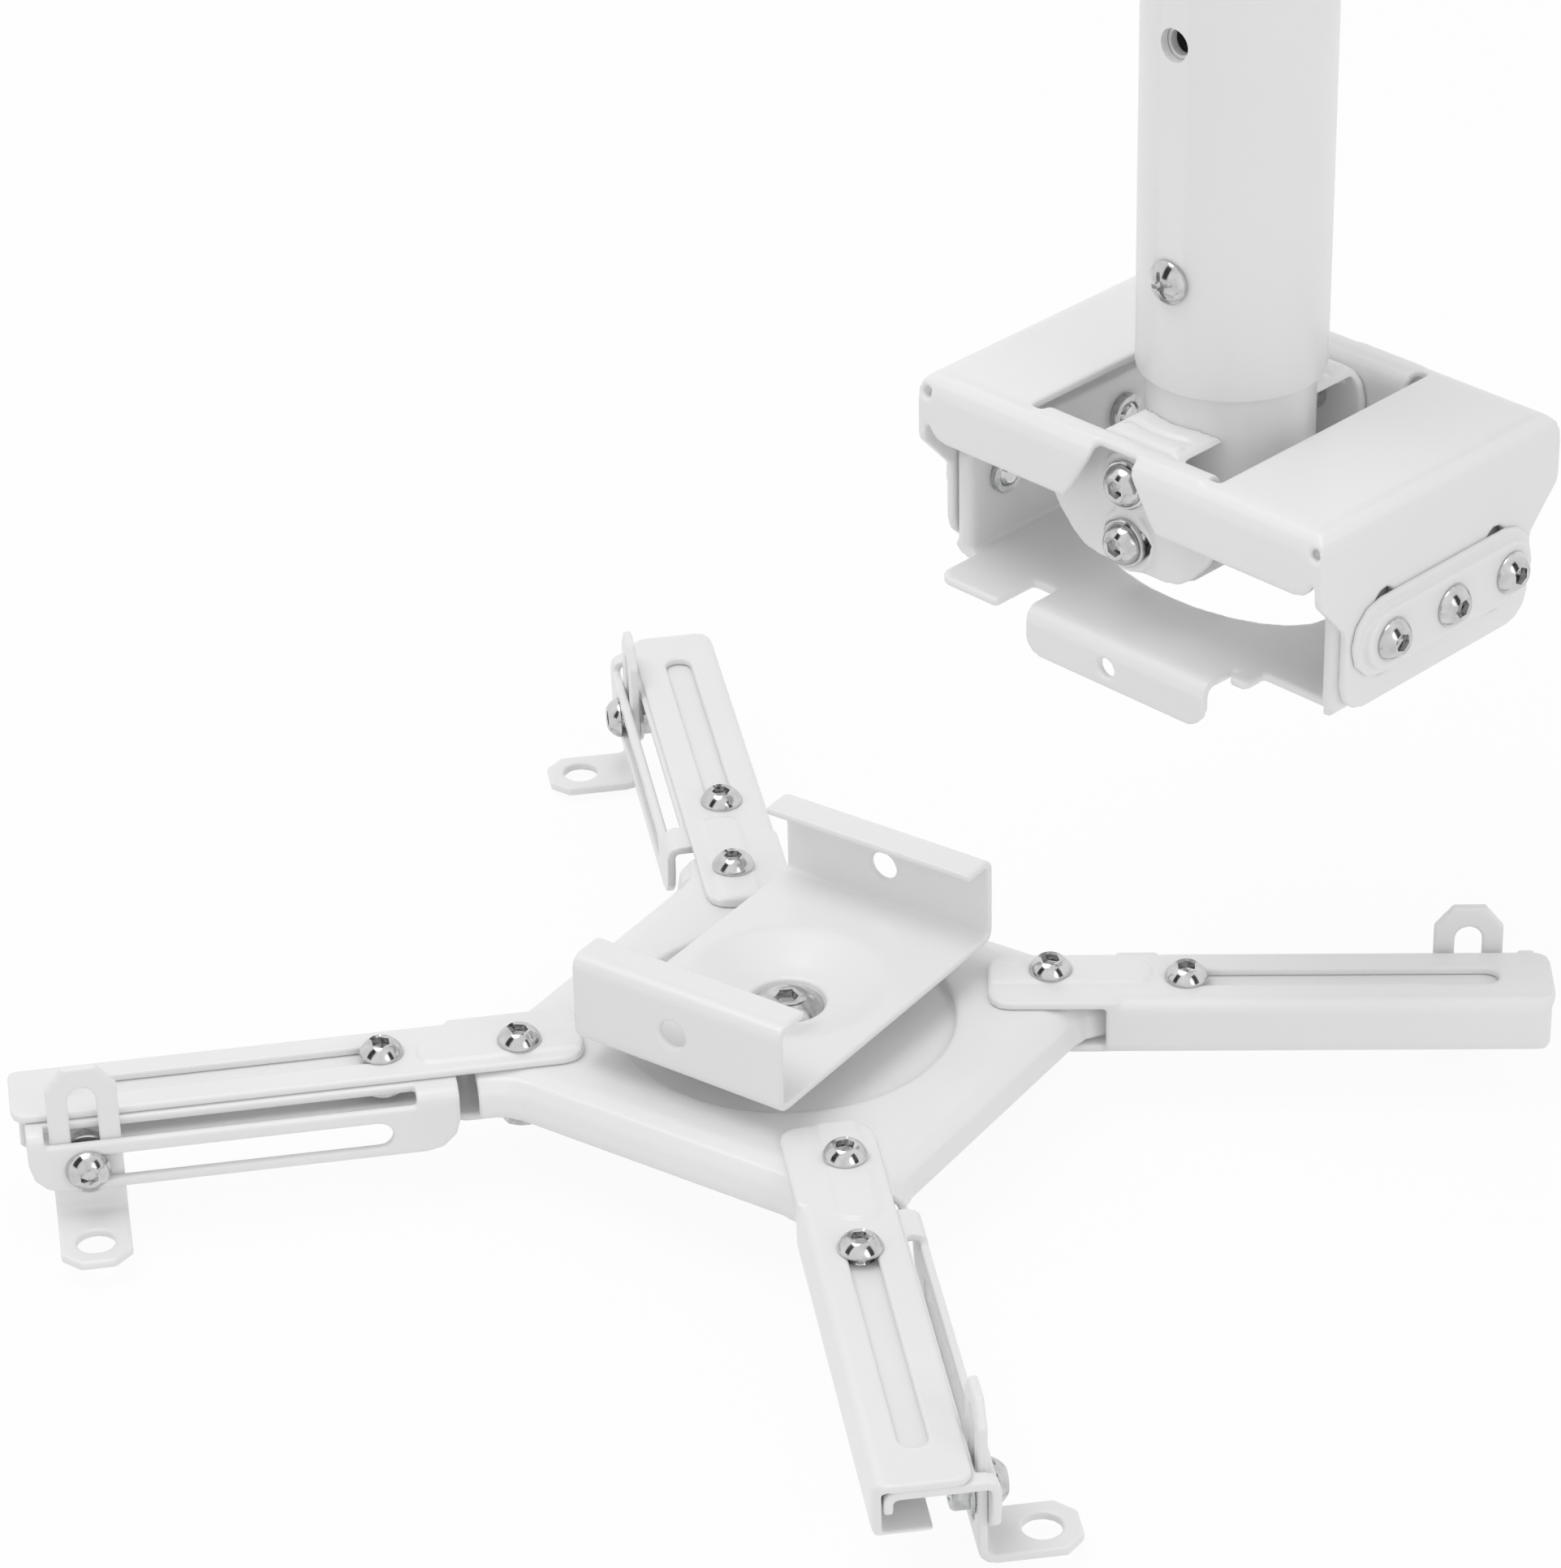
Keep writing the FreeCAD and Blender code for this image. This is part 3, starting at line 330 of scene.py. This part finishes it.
def cross_head_screw(r, height, shank_r, length):
    """Pan-head screw with a cross recess cut into its dome."""
    bm = bmesh.new()
    head = dome(r, height, 0.9, 0.0, 16)[:-1] + [(0, height)]
    spun(bm, thread(shank_r, -length, -0.4) + [(shank_r, 0.0)] + head)
    sizes = [(CROSS_WIDTH, CROSS_LENGTH, CROSS_DEPTH), (CROSS_LENGTH, CROSS_WIDTH, CROSS_DEPTH)]
    sizes.append((2 * CROSS_WIDTH, 2 * CROSS_WIDTH, CROSS_DEPTH + 0.6))
    blades = [block((wide, long, 4.0), Matrix.Translation((0, 0, height + 2.0 - deep)))
              for wide, long, deep in sizes]
    return worked(bm, blades)


def hexagon_nut(flats, height, hole_r, flange_r=0.0, flange_t=0.0):
    """Nut hanging down from z = 0, with chamfered corners and a plain bore."""
    bm = bmesh.new()
    corner = flats / math.sqrt(3)
    top = ring_edges(bm, corner, 0.0, ROUND_STEPS, sides=6)
    for vert in {v for e in top for v in e.verts}:
        vert.co.z = -(vert.co.xy.length - flats / 2) * 0.6 - 0.1
    low = drawn(bm, top, height)
    for vert in {v for e in low for v in e.verts}:
        vert.co.z = -height + (vert.co.xy.length - flats / 2) * 0.6 + 0.1
    for edges, z, way in ((top, 0.0, 1), (low, -height, -1)):
        face_ring = ring_edges(bm, flats / 2 - 0.15, z, ROUND_STEPS)
        bmesh.ops.bridge_loops(bm, edges=edges + face_ring)
        bore = ring_edges(bm, hole_r + NUT_CHAMFER, z, ROUND_STEPS)
        bmesh.ops.bridge_loops(bm, edges=face_ring + bore)
        inner = drawn(bm, bore, 0.5 * way, hole_r / (hole_r + NUT_CHAMFER))
        if z == 0.0:
            first = inner
        else:
            bmesh.ops.bridge_loops(bm, edges=first + inner)
    if flange_r:
        spun_ring(bm, hole_r + 1.5, flange_r, -flange_t, 0.0, 0.3)
    return bm


def spun_ring(bm, r_in, r_out, z0, z1, edge):
    """Adds a ring with a small chamfer on every edge."""
    part = bmesh.new()
    outside = [(r_out - edge, z0), (r_out, z0 + edge), (r_out, z1 - edge), (r_out - edge, z1)]
    inside = [(r_in + edge, z1), (r_in, z1 - edge), (r_in, z0 + edge)]
    spun(part, [(r_in + edge, z0)] + outside + inside, closed=True)
    joined(bm, part)


def joined(bm, extra):
    """Adds a second drawn mesh to the first."""
    bmesh.ops.recalc_face_normals(extra, faces=extra.faces)
    mesh = bpy.data.meshes.new("extra")
    extra.to_mesh(mesh)
    extra.free()
    bm.from_mesh(mesh)
    bpy.data.meshes.remove(mesh)


def block(sides, place):
    bm = bmesh.new()
    bmesh.ops.create_cube(bm, size=1.0, matrix=place @ Matrix.Diagonal((*sides, 1.0)))
    return bm


def round_block(r, length, place):
    """Plain cylinder up from its place, used as a cutter."""
    bm = bmesh.new()
    bmesh.ops.create_cone(bm, cap_ends=True, segments=ROUND_STEPS, radius1=r, radius2=r, depth=length,
                          matrix=place @ Matrix.Translation((0, 0, length / 2)))
    return bm


def in_scene(bm, name):
    """Sets a drawn mesh in the scene as an object."""
    mesh = bpy.data.meshes.new(name)
    bm.to_mesh(mesh)
    bm.free()
    obj = bpy.data.objects.new(name, mesh)
    bpy.context.scene.collection.objects.link(obj)
    return obj


def loose_object(bm, name):
    """Object that lasts only while a piece is worked, facing outwards."""
    bmesh.ops.recalc_face_normals(bm, faces=bm.faces)
    return in_scene(bm, name)


def worked(bm, cutters=(), coat_step=0.0, soften=6, keep=1.0):
    """Cuts a drawn mesh and, where a coat step is given, lays a coat over it that rounds every edge."""
    shape = loose_object(bm, "shape")
    tools = [loose_object(cutter, "cutter") for cutter in cutters]
    for tool in tools:
        cut = shape.modifiers.new("cut", "BOOLEAN")
        cut.solver = "EXACT"
        cut.object = tool
    if coat_step:
        skin = shape.modifiers.new("coat", "REMESH")
        skin.mode = "VOXEL"
        skin.voxel_size = coat_step
        soft = shape.modifiers.new("soft_edges", "SMOOTH")
        soft.iterations = soften
        thin = shape.modifiers.new("fewer_faces", "DECIMATE")
        thin.ratio = keep
    graph = bpy.context.evaluated_depsgraph_get()
    mesh = bpy.data.meshes.new_from_object(shape.evaluated_get(graph))
    result = bmesh.new()
    result.from_mesh(mesh)
    bpy.data.meshes.remove(mesh)
    for obj in [shape] + tools:
        mesh = obj.data
        bpy.data.objects.remove(obj)
        bpy.data.meshes.remove(mesh)
    return result


def plain_ring(r_in, r_out, z0, z1, edge):
    bm = bmesh.new()
    spun_ring(bm, r_in, r_out, z0, z1, edge)
    return bm


# Placing pieces

def facing(place, direction, turn=0.0):
    """Matrix that turns +Z to a direction, spins the piece about it and sets it at a point."""
    way = Vector(direction).to_track_quat("Z", "Y").to_matrix().to_4x4()
    return Matrix.Translation(place) @ way @ Matrix.Rotation(math.radians(turn), 4, "Z")


def on_spider(matrix, yaw=0.0):
    return Matrix.Translation(SPIDER) @ Matrix.Rotation(math.radians(yaw), 4, "Z") @ matrix


def on_arm(matrix, arm, out=0.0):
    """Place in an arm's own frame, whose slot line is y = 0, moved to its pivot on the plate."""
    heading = math.radians(PLATE_YAW + arm["corner"])
    pivot = Vector(SPIDER) + Vector((PIVOT_REACH * math.cos(heading), PIVOT_REACH * math.sin(heading), 0))
    turn = Matrix.Rotation(heading + math.radians(arm["swing"]), 4, "Z")
    return Matrix.Translation(pivot) @ turn @ Matrix.Translation((out, -PIVOT_OFFSET, 0)) @ matrix


def repeated(bm, places):
    """Copies one drawn shape to several places in one mesh."""
    bmesh.ops.recalc_face_normals(bm, faces=bm.faces)
    mesh = bpy.data.meshes.new("one")
    bm.to_mesh(mesh)
    bm.free()
    whole = bmesh.new()
    for place in places:
        copy = mesh.copy()
        copy.transform(place)
        whole.from_mesh(copy)
        bpy.data.meshes.remove(copy)
    bpy.data.meshes.remove(mesh)
    return whole


def finished(bm, name, slot, nodes, sharp=32.0):
    """Scales a drawn mesh to metres, names it, and sets it on its body in place of its nodes."""
    bmesh.ops.scale(bm, verts=bm.verts, vec=(MM, MM, MM))
    piece = in_scene(bm, name)
    piece.data.materials.append(finishes[slot])
    piece.data.shade_smooth()
    piece.data.set_sharp_from_angle(angle=math.radians(sharp))
    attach(piece, body_of[nodes[0]])
    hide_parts(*nodes)


def fastener(bm, name, slot, node, places):
    """Sets one kind of fastener at all its places, as one piece that stands for a node."""
    finished(repeated(bm, places), name, slot, [node])


def sheet(nodes, home=Matrix()):
    """Copy of a folded sheet's nodes in millimetres, moved from its home to the origin."""
    bm = bmesh.new()
    for node in nodes:
        bm.from_mesh(frame["nodes"][node].data)
    bmesh.ops.remove_doubles(bm, verts=bm.verts, dist=2e-6)
    bm.transform(home.inverted() @ Matrix.Scale(1 / MM, 4))
    return bm


def coated(name, nodes=(), home=Matrix(), first=(), extra=None, cutters=(), coat_step=0.5, soften=6,
           keep=0.35):
    """Sheet under its thick coat, set back at its home in place of its nodes.

    The first cutters work before an extra form is added, and the others after it."""
    nodes = list(nodes) or [name]
    bare = worked(sheet(nodes, home), first) if first else sheet(nodes, home)
    if extra:
        joined(bare, extra)
    skin = worked(bare, cutters, coat_step, soften, keep)
    skin.transform(home)
    finished(skin, name + "_coated", "white_steel", nodes, sharp=75.0)


def pipe(r_out, r_in, low, high, edge=0.5):
    """Round tube with rounded rims."""
    bm = bmesh.new()
    corner = r_out - edge / 4
    rim = [(r_in + edge, low), (r_out - edge, low), (corner, low + edge / 4), (r_out, low + edge)]
    rim += [(r_out, high - edge), (corner, high - edge / 4), (r_out - edge, high), (r_in + edge, high)]
    rim += [(r_in, high - edge), (r_in, low + edge)]
    spun(bm, rim, closed=True)
    return bm


def side_hole(r, z, start=-40.0, length=40.0):
    """Cutter along +Y through the wall of a tube."""
    return round_block(r, length, facing((0, start, z), (0, 1, 0)))


def tube_piece(node, drawn_tube):
    finished(drawn_tube, node + "_coated", "white_steel", [node], sharp=50.0)


def tubes():
    screw_z = COLUMN_FOOT + NECK_SCREW_UP
    open_z = COLUMN_FOOT + OPEN_HOLE_UP
    screw_hole_r = M6_R + HOLE_GAP
    holes = [side_hole(screw_hole_r, screw_z), side_hole(OPEN_HOLE_R, open_z)]
    holes.append(side_hole(screw_hole_r, COLUMN_FOOT + HEIGHT_SCREW_UP, length=80.0))
    column = pipe(TUBE_R, TUBE_R - TUBE_WALL, COLUMN_FOOT, COLUMN_FOOT + TUBE_LENGTH, 0.7)
    tube_piece("outer_tube", worked(column, holes))
    neck_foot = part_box("neck_tube")[0][2] / MM
    neck = pipe(NECK_R, NECK_R - NECK_WALL, neck_foot, COLUMN_FOOT + NECK_UP)
    holes = [side_hole(screw_hole_r, screw_z), side_hole(screw_hole_r, open_z)]
    tube_piece("neck_tube", worked(neck, holes))
    tube_piece("inner_tube", pipe(NECK_R, NECK_R - NECK_WALL, INNER_FOOT, PLATE_UNDER))
    collar = bmesh.new()
    top = [(COLLAR_BORE_R, PLATE_UNDER), (26.5, PLATE_UNDER), (27.0, -3.5)]
    weld = [(27.0, -6.0), (26.0, -8.0), (23.7, -14.6), (23.3, COLLAR_FOOT)]
    foot = [(COLLAR_BORE_R + 0.4, COLLAR_FOOT), (COLLAR_BORE_R, COLLAR_FOOT + 0.4)]
    spun(collar, top + weld + foot, closed=True)
    tube_piece("base_collar", collar)


def yoke_ears():
    """Closed tops of the yoke's two ears, rounded down to the cheeks."""
    middle = Matrix.Translation((0, CHEEK_FACE - EAR_DEPTH / 2, YOKE_TOP - EAR_HEIGHT / 2))
    ear = block((EAR_WIDTH, EAR_DEPTH, EAR_HEIGHT), middle)
    crest = [e for e in ear.edges
             if all(v.co.y > CHEEK_FACE - 0.1 and v.co.z > YOKE_TOP - 0.1 for v in e.verts)]
    bmesh.ops.bevel(ear, geom=crest, offset=3.0, segments=5, profile=0.5, affect="EDGES", material=-1)
    return repeated(ear, [Matrix(), Matrix.Rotation(math.pi, 4, "Z")])


def yoke_groove():
    """Cutter for the groove pressed round the neck into both ears."""
    bm = bmesh.new()
    turns = [math.radians(30 * i) for i in range(12)]
    middle_z = YOKE_TOP + 0.3
    wire = [(GROOVE_R + GROOVE_WIRE_R * math.cos(a), middle_z + GROOVE_WIRE_R * math.sin(a)) for a in turns]
    spun(bm, wire, closed=True)
    return bm


def saddle_dish():
    """Dish pressed down round the centre screw, with the cup that its head sits in."""
    bm = bmesh.new()
    cup_top = CUP_FLOOR + SADDLE_SHEET
    bore_r = M8_R + BORE_GAP
    top = [(DISH_R, SADDLE_SHEET), (24.0, 1.85), (22.0, 1.2), (16.0, -1.1), (13.0, -2.3), (11.0, -2.9)]
    cup = [(9.9, -3.1), (CUP_R, -3.5), (CUP_R, cup_top), (bore_r, cup_top), (bore_r, CUP_FLOOR)]
    under = [(11.4, CUP_FLOOR), (11.4, -5.2), (13.4, -4.4), (16.4, -3.2)]
    edge = [(22.6, -0.9), (24.6, -0.1), (DISH_R, 0.0)]
    spun(bm, top + cup + under + edge, closed=True)
    return bm


def sheet_pieces():
    coated("ceiling_plate", coat_step=0.8, soften=3, keep=0.3)
    coated("yoke", extra=yoke_ears(), cutters=[yoke_groove()])
    coated("tilt_frame", coat_step=0.55)
    coated("end_strip_right", coat_step=0.45)
    coated("end_strip_left", coat_step=0.45)
    coated("cradle", coat_step=0.55)
    walls = ("saddle_base", "saddle_front_wall", "saddle_rear_wall")
    middle = round_block(DISH_R - 0.4, 16.0, Matrix.Translation((0, 0, CUP_FLOOR - 2.0)))
    coated("saddle", walls, on_spider(Matrix(), SADDLE_YAW), [middle], saddle_dish())
    recess = round_block(RECESS_R, 15.0, Matrix.Translation((0, 0, PLATE_TOP - RECESS_DEPTH)))
    coated("spider_plate", home=on_spider(Matrix(), PLATE_YAW), cutters=[recess], coat_step=0.6)
    for side, arm in ARMS.items():
        coated(side + "_arm", home=on_arm(Matrix(), arm))
        moved = on_arm(Matrix(), arm, arm["out"])
        coated(side + "_extension", home=moved)
        coated(side + "_foot_tab", home=moved, coat_step=0.4)


def button_screw(length):
    return socket_head_screw(BUTTON_R, BUTTON_H, 0.5, BUTTON_FLAT_R, M6_R, length,
                             SOCKET_FLATS, SOCKET_DEPTH)


def m6_ring(r_out, height, top=0.0, edge=0.3):
    """Ring round an M6 shank, down from its top."""
    return plain_ring(M6_R + BORE_GAP, r_out, top - height, top, edge)


def m6_nut(flange_r=0.0, flange_t=0.0):
    return hexagon_nut(NUT_FLATS, NUT_H, M6_R + BORE_GAP, flange_r, flange_t)


def roll_fasteners():
    """Two pivot screws and two lock screws through the head's flaps, with washers and bushes."""
    seat = FLAP_OUTER + BOSS_H + WASHER_T
    bush_top = -WASHER_T - BOSS_H - SHEET - FACE_GAP - YOKE_T
    for label, z in (("roll_pivot", ROLL_Z), ("roll_lock", LOCK_Z)):
        ends = [facing((0, side * seat, z), (0, side, 0), turn) for side, turn in ((-1, 12.0), (1, 40.0))]
        fastener(button_screw(ROLL_SCREW_LENGTH), label + "_screws", "chrome", label + "_bolts", ends)
        washer = m6_ring(WASHER_R, WASHER_T, edge=0.25)
        fastener(washer, label + "_plain_washers", "chrome", label + "_washers", ends)
        fastener(m6_ring(BUSH_R, NUT_H, bush_top), label + "_bushes", "zinc_steel", label + "_nuts", ends)


def pitch_fasteners():
    """Three screws on each end strip, and the inserts that they go into."""
    crowns = [facing((HEAD_SHIFT + side * CROWN_FACE, y, PITCH_Z), (side, 0, 0), turn + step * i)
              for side, turn, step in ((1, 10.0, 25.0), (-1, 0.0, 33.0))
              for i, y in enumerate((-PITCH_BOLT_PITCH, 0, PITCH_BOLT_PITCH))]
    length = CROWN_FACE - INSERT_SEAT + INSERT_H + 0.6
    fastener(button_screw(length), "pitch_screws", "chrome", "pitch_bolts", crowns)
    seats = [place @ Matrix.Translation((0, 0, INSERT_SEAT - CROWN_FACE)) for place in crowns]
    fastener(m6_ring(INSERT_R, INSERT_H), "pressed_inserts", "zinc_steel", "threaded_inserts", seats)


def column_fasteners():
    """Cross-head screws that hold the neck and clamp the column's height."""
    seat = [facing((0, -TUBE_R, COLUMN_FOOT + NECK_SCREW_UP), (0, -1, 0), 20.0)]
    screw = cross_head_screw(PAN_R, PAN_H, M6_R, NECK_SCREW_LENGTH)
    fastener(screw, "neck_cross_screw", "chrome", "neck_screw", seat)
    high_z = COLUMN_FOOT + HEIGHT_SCREW_UP
    seats = [facing((0, side * TUBE_R, high_z), (0, side, 0), 35.0) for side in (-1, 1)]
    screw = cross_head_screw(PAN_R, PAN_H, M6_R, HEIGHT_SCREW_LENGTH)
    fastener(screw, "height_cross_screws", "chrome", "height_screws", seats)


def centre_fasteners():
    """The spider's big centre screw, the washer below the saddle's cup and the nut under the plate."""
    seat = on_spider(Matrix.Translation((0, 0, CUP_FLOOR + SADDLE_SHEET)), 20.0)
    screw = socket_head_screw(CENTRE_R, CENTRE_H, 0.6, CENTRE_FLAT_R, M8_R, CENTRE_LENGTH,
                              CENTRE_SOCKET_FLATS, CENTRE_SOCKET_DEPTH)
    fastener(screw, "centre_socket_screw", "chrome", "centre_bolt", [seat])
    under = on_spider(Matrix.Translation((0, 0, PLATE_TOP - PLATE_DEPTH)))
    nut = hexagon_nut(CENTRE_NUT_FLATS, CENTRE_NUT_H, M8_R + BORE_GAP)
    fastener(nut, "centre_hexagon_nut", "zinc_steel", "centre_nut", [under])
    rest = on_spider(Matrix.Translation((0, 0, CUP_FLOOR)))
    washer = plain_ring(M8_R + BORE_GAP, CENTRE_WASHER_R, -CENTRE_WASHER_T, 0.0, 0.3)
    fastener(washer, "centre_plain_washer", "chrome", "centre_washer", [rest])


def pivot_fasteners():
    """The four screws that the arms swing on, with their nuts."""
    tops = []
    for i, arm in enumerate(ARMS.values()):
        a = math.radians(arm["corner"])
        place = (PIVOT_REACH * math.cos(a), PIVOT_REACH * math.sin(a), ARM_TOP + RIDGE_H)
        tops.append(on_spider(Matrix.Translation(place) @ Matrix.Rotation(0.4 * i, 4, "Z"), PLATE_YAW))
    length = RIDGE_H + ARM_WEB_H + NUT_H + THREAD_OUT
    fastener(button_screw(length), "pivot_screws", "chrome", "pivot_bolts", tops)
    backs = [top @ Matrix.Translation((0, 0, -ARM_WEB_H - RIDGE_H)) for top in tops]
    fastener(m6_nut(), "pivot_hexagon_nuts", "zinc_steel", "pivot_nuts", backs)


def arm_fasteners(side, arm):
    """One arm's clamp screw and foot screw, with their nuts."""
    top = on_arm(Matrix.Translation((CLAMP_U, 0, ARM_TOP)), arm, arm["out"])
    screw = button_screw(2 * SHEET + NUT_H + THREAD_OUT)
    fastener(screw, side + "_clamp_screw", "chrome", side + "_clamp_bolt", [top])
    low = on_arm(Matrix.Translation((CLAMP_U, 0, PLATE_TOP - SHEET)), arm, arm["out"])
    fastener(m6_nut(), side + "_clamp_hexagon_nut", "zinc_steel", side + "_clamp_nut", [low])
    wall = on_arm(facing((arm["foot_u"], EXT_WALL, EXT_SLOT_Z), (0, 1, 0)), arm, arm["out"])
    screw = button_screw(2 * SHEET + NUT_H + FOOT_THREAD_OUT)
    fastener(screw, side + "_foot_screw", "chrome", side + "_foot_bolt", [wall])
    back = wall @ Matrix.Translation((0, 0, -2 * SHEET))
    nut = m6_nut(NUT_FLANGE_R, NUT_FLANGE_T)
    fastener(nut, side + "_foot_flange_nut", "zinc_steel", side + "_foot_nut", [back])


# Stage

STUDIO_MIDDLE = Vector((0.0, -0.05, -0.5))


def studio_colour(nodes, links, lit, seen):
    """Shows a plain white to the camera, in gloss and through glass, and the lit shader to the rest."""
    path = nodes.new("ShaderNodeLightPath")
    most = nodes.new("ShaderNodeMath")
    most.operation = "MAXIMUM"
    links.new(path.outputs["Is Camera Ray"], most.inputs[0])
    links.new(path.outputs["Is Glossy Ray"], most.inputs[1])
    also = nodes.new("ShaderNodeMath")
    also.operation = "MAXIMUM"
    links.new(most.outputs[0], also.inputs[0])
    links.new(path.outputs["Is Transmission Ray"], also.inputs[1])
    mix = nodes.new("ShaderNodeMixShader")
    links.new(also.outputs[0], mix.inputs[0])
    links.new(lit, mix.inputs[1])
    links.new(seen, mix.inputs[2])
    return mix.outputs[0]


def set_world():
    world = bpy.data.worlds.new("studio")
    bpy.context.scene.world = world
    world.use_nodes = True
    nodes = world.node_tree.nodes
    links = world.node_tree.links
    nodes["Background"].inputs["Color"].default_value = (1, 1, 1, 1)
    nodes["Background"].inputs["Strength"].default_value = 0.70
    seen = nodes.new("ShaderNodeBackground")
    seen.inputs["Color"].default_value = (1, 1, 1, 1)
    seen.inputs["Strength"].default_value = 1.0
    out = studio_colour(nodes, links, nodes["Background"].outputs[0], seen.outputs[0])
    links.new(out, nodes["World Output"].inputs["Surface"])


def set_floor():
    bm = bmesh.new()
    bmesh.ops.create_grid(bm, x_segments=1, y_segments=1, size=6.0)
    bmesh.ops.translate(bm, verts=bm.verts, vec=(0, 0, cad_box[0][2] - 0.002))
    floor = in_scene(bm, "studio_floor")
    material, nodes, links, shader = new_material("floor_paper")
    shader.inputs["Base Color"].default_value = (*grey(0.9), 1)
    shader.inputs["Roughness"].default_value = 0.9
    white = nodes.new("ShaderNodeEmission")
    white.inputs["Strength"].default_value = 1.0
    soft = nodes.new("ShaderNodeMixShader")
    soft.inputs[0].default_value = 0.93
    links.new(shader.outputs[0], soft.inputs[1])
    links.new(white.outputs[0], soft.inputs[2])
    out = studio_colour(nodes, links, shader.outputs[0], soft.outputs[0])
    links.new(out, nodes["Material Output"].inputs["Surface"])
    floor.data.materials.append(material)


def dark_card(name, azimuth, height_angle, distance, wide, tall):
    """Black studio flag that shows in gloss alone, so that the screws keep their contrast."""
    a, e = math.radians(azimuth), math.radians(height_angle)
    way = Vector((math.sin(a) * math.cos(e), -math.cos(a) * math.cos(e), math.sin(e)))
    bm = bmesh.new()
    size = Matrix.Diagonal((wide, tall, 1.0, 1.0))
    bmesh.ops.create_grid(bm, x_segments=1, y_segments=1, size=0.5, matrix=size)
    bm.transform(facing(STUDIO_MIDDLE + way * distance, way))
    card = in_scene(bm, name)
    material, _, _, shader = new_material(name + "_felt")
    shader.inputs["Base Color"].default_value = (*grey(0.04), 1)
    shader.inputs["Roughness"].default_value = 1.0
    card.data.materials.append(material)
    card.visible_camera = False
    card.visible_diffuse = False
    card.visible_shadow = False
    card.visible_transmission = False


def add_lamp(name, place, size, power):
    light = bpy.data.lights.new(name, "AREA")
    light.shape = "DISK"
    light.size = size
    light.energy = power
    lamp = bpy.data.objects.new(name, light)
    bpy.context.scene.collection.objects.link(lamp)
    aim = STUDIO_MIDDLE - Vector(place)
    lamp.matrix_world = Matrix.Translation(place) @ aim.to_track_quat("-Z", "Y").to_matrix().to_4x4()


def set_camera():
    azimuth, height, roll = (math.radians(a) for a in (CAMERA_AZIMUTH, CAMERA_HEIGHT_ANGLE, CAMERA_ROLL))
    right = Vector((math.cos(azimuth), math.sin(azimuth), 0))
    level = Vector((math.sin(azimuth), -math.cos(azimuth), 0))
    back = level * math.cos(height) + Vector((0, 0, math.sin(height)))
    up = back.cross(right)
    side = right * math.cos(roll) + up * math.sin(roll)
    rise = up * math.cos(roll) - right * math.sin(roll)
    turn = Matrix((side, rise, back)).transposed().to_4x4()
    lens = bpy.data.cameras.new("photo_camera")
    lens.lens = CAMERA_LENS
    lens.sensor_width = 36.0
    lens.clip_start = 0.01
    lens.clip_end = 50.0
    camera = bpy.data.objects.new("photo_camera", lens)
    bpy.context.scene.collection.objects.link(camera)
    camera.matrix_world = Matrix.Translation(Vector(CAMERA_PLACE) * MM) @ turn
    bpy.context.scene.camera = camera


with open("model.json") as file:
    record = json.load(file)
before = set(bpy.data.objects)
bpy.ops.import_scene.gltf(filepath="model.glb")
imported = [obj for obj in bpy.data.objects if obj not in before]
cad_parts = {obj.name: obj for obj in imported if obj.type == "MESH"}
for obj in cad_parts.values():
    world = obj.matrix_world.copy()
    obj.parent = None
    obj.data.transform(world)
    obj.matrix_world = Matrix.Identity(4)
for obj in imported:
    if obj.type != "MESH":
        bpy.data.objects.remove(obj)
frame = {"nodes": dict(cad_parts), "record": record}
cad_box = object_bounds()
body_of = {node: body for body, nodes in frame["record"]["behaviour"]["bodies"].items() for node in nodes}
bpy.context.scene.view_settings.view_transform = "Standard"
set_camera()
set_world()
set_floor()
dark_card("dark_card_left", -20.0, 30.0, 1.1, 0.45, 0.9)
dark_card("dark_card_right", 98.0, 28.0, 1.1, 0.45, 0.9)
dark_card("dark_card_high", 215.0, 50.0, 1.2, 0.9, 0.35)
add_lamp("soft_top", (-0.35, -0.5, 1.4), 1.4, 11.0)
add_lamp("soft_right", (1.6, -0.2, 0.3), 1.2, 3.0)
finishes = {"white_steel": white_coat(), "chrome": chrome(), "zinc_steel": zinc()}
sheet_pieces()
tubes()
roll_fasteners()
pitch_fasteners()
column_fasteners()
centre_fasteners()
pivot_fasteners()
for side, arm in ARMS.items():
    arm_fasteners(side, arm)
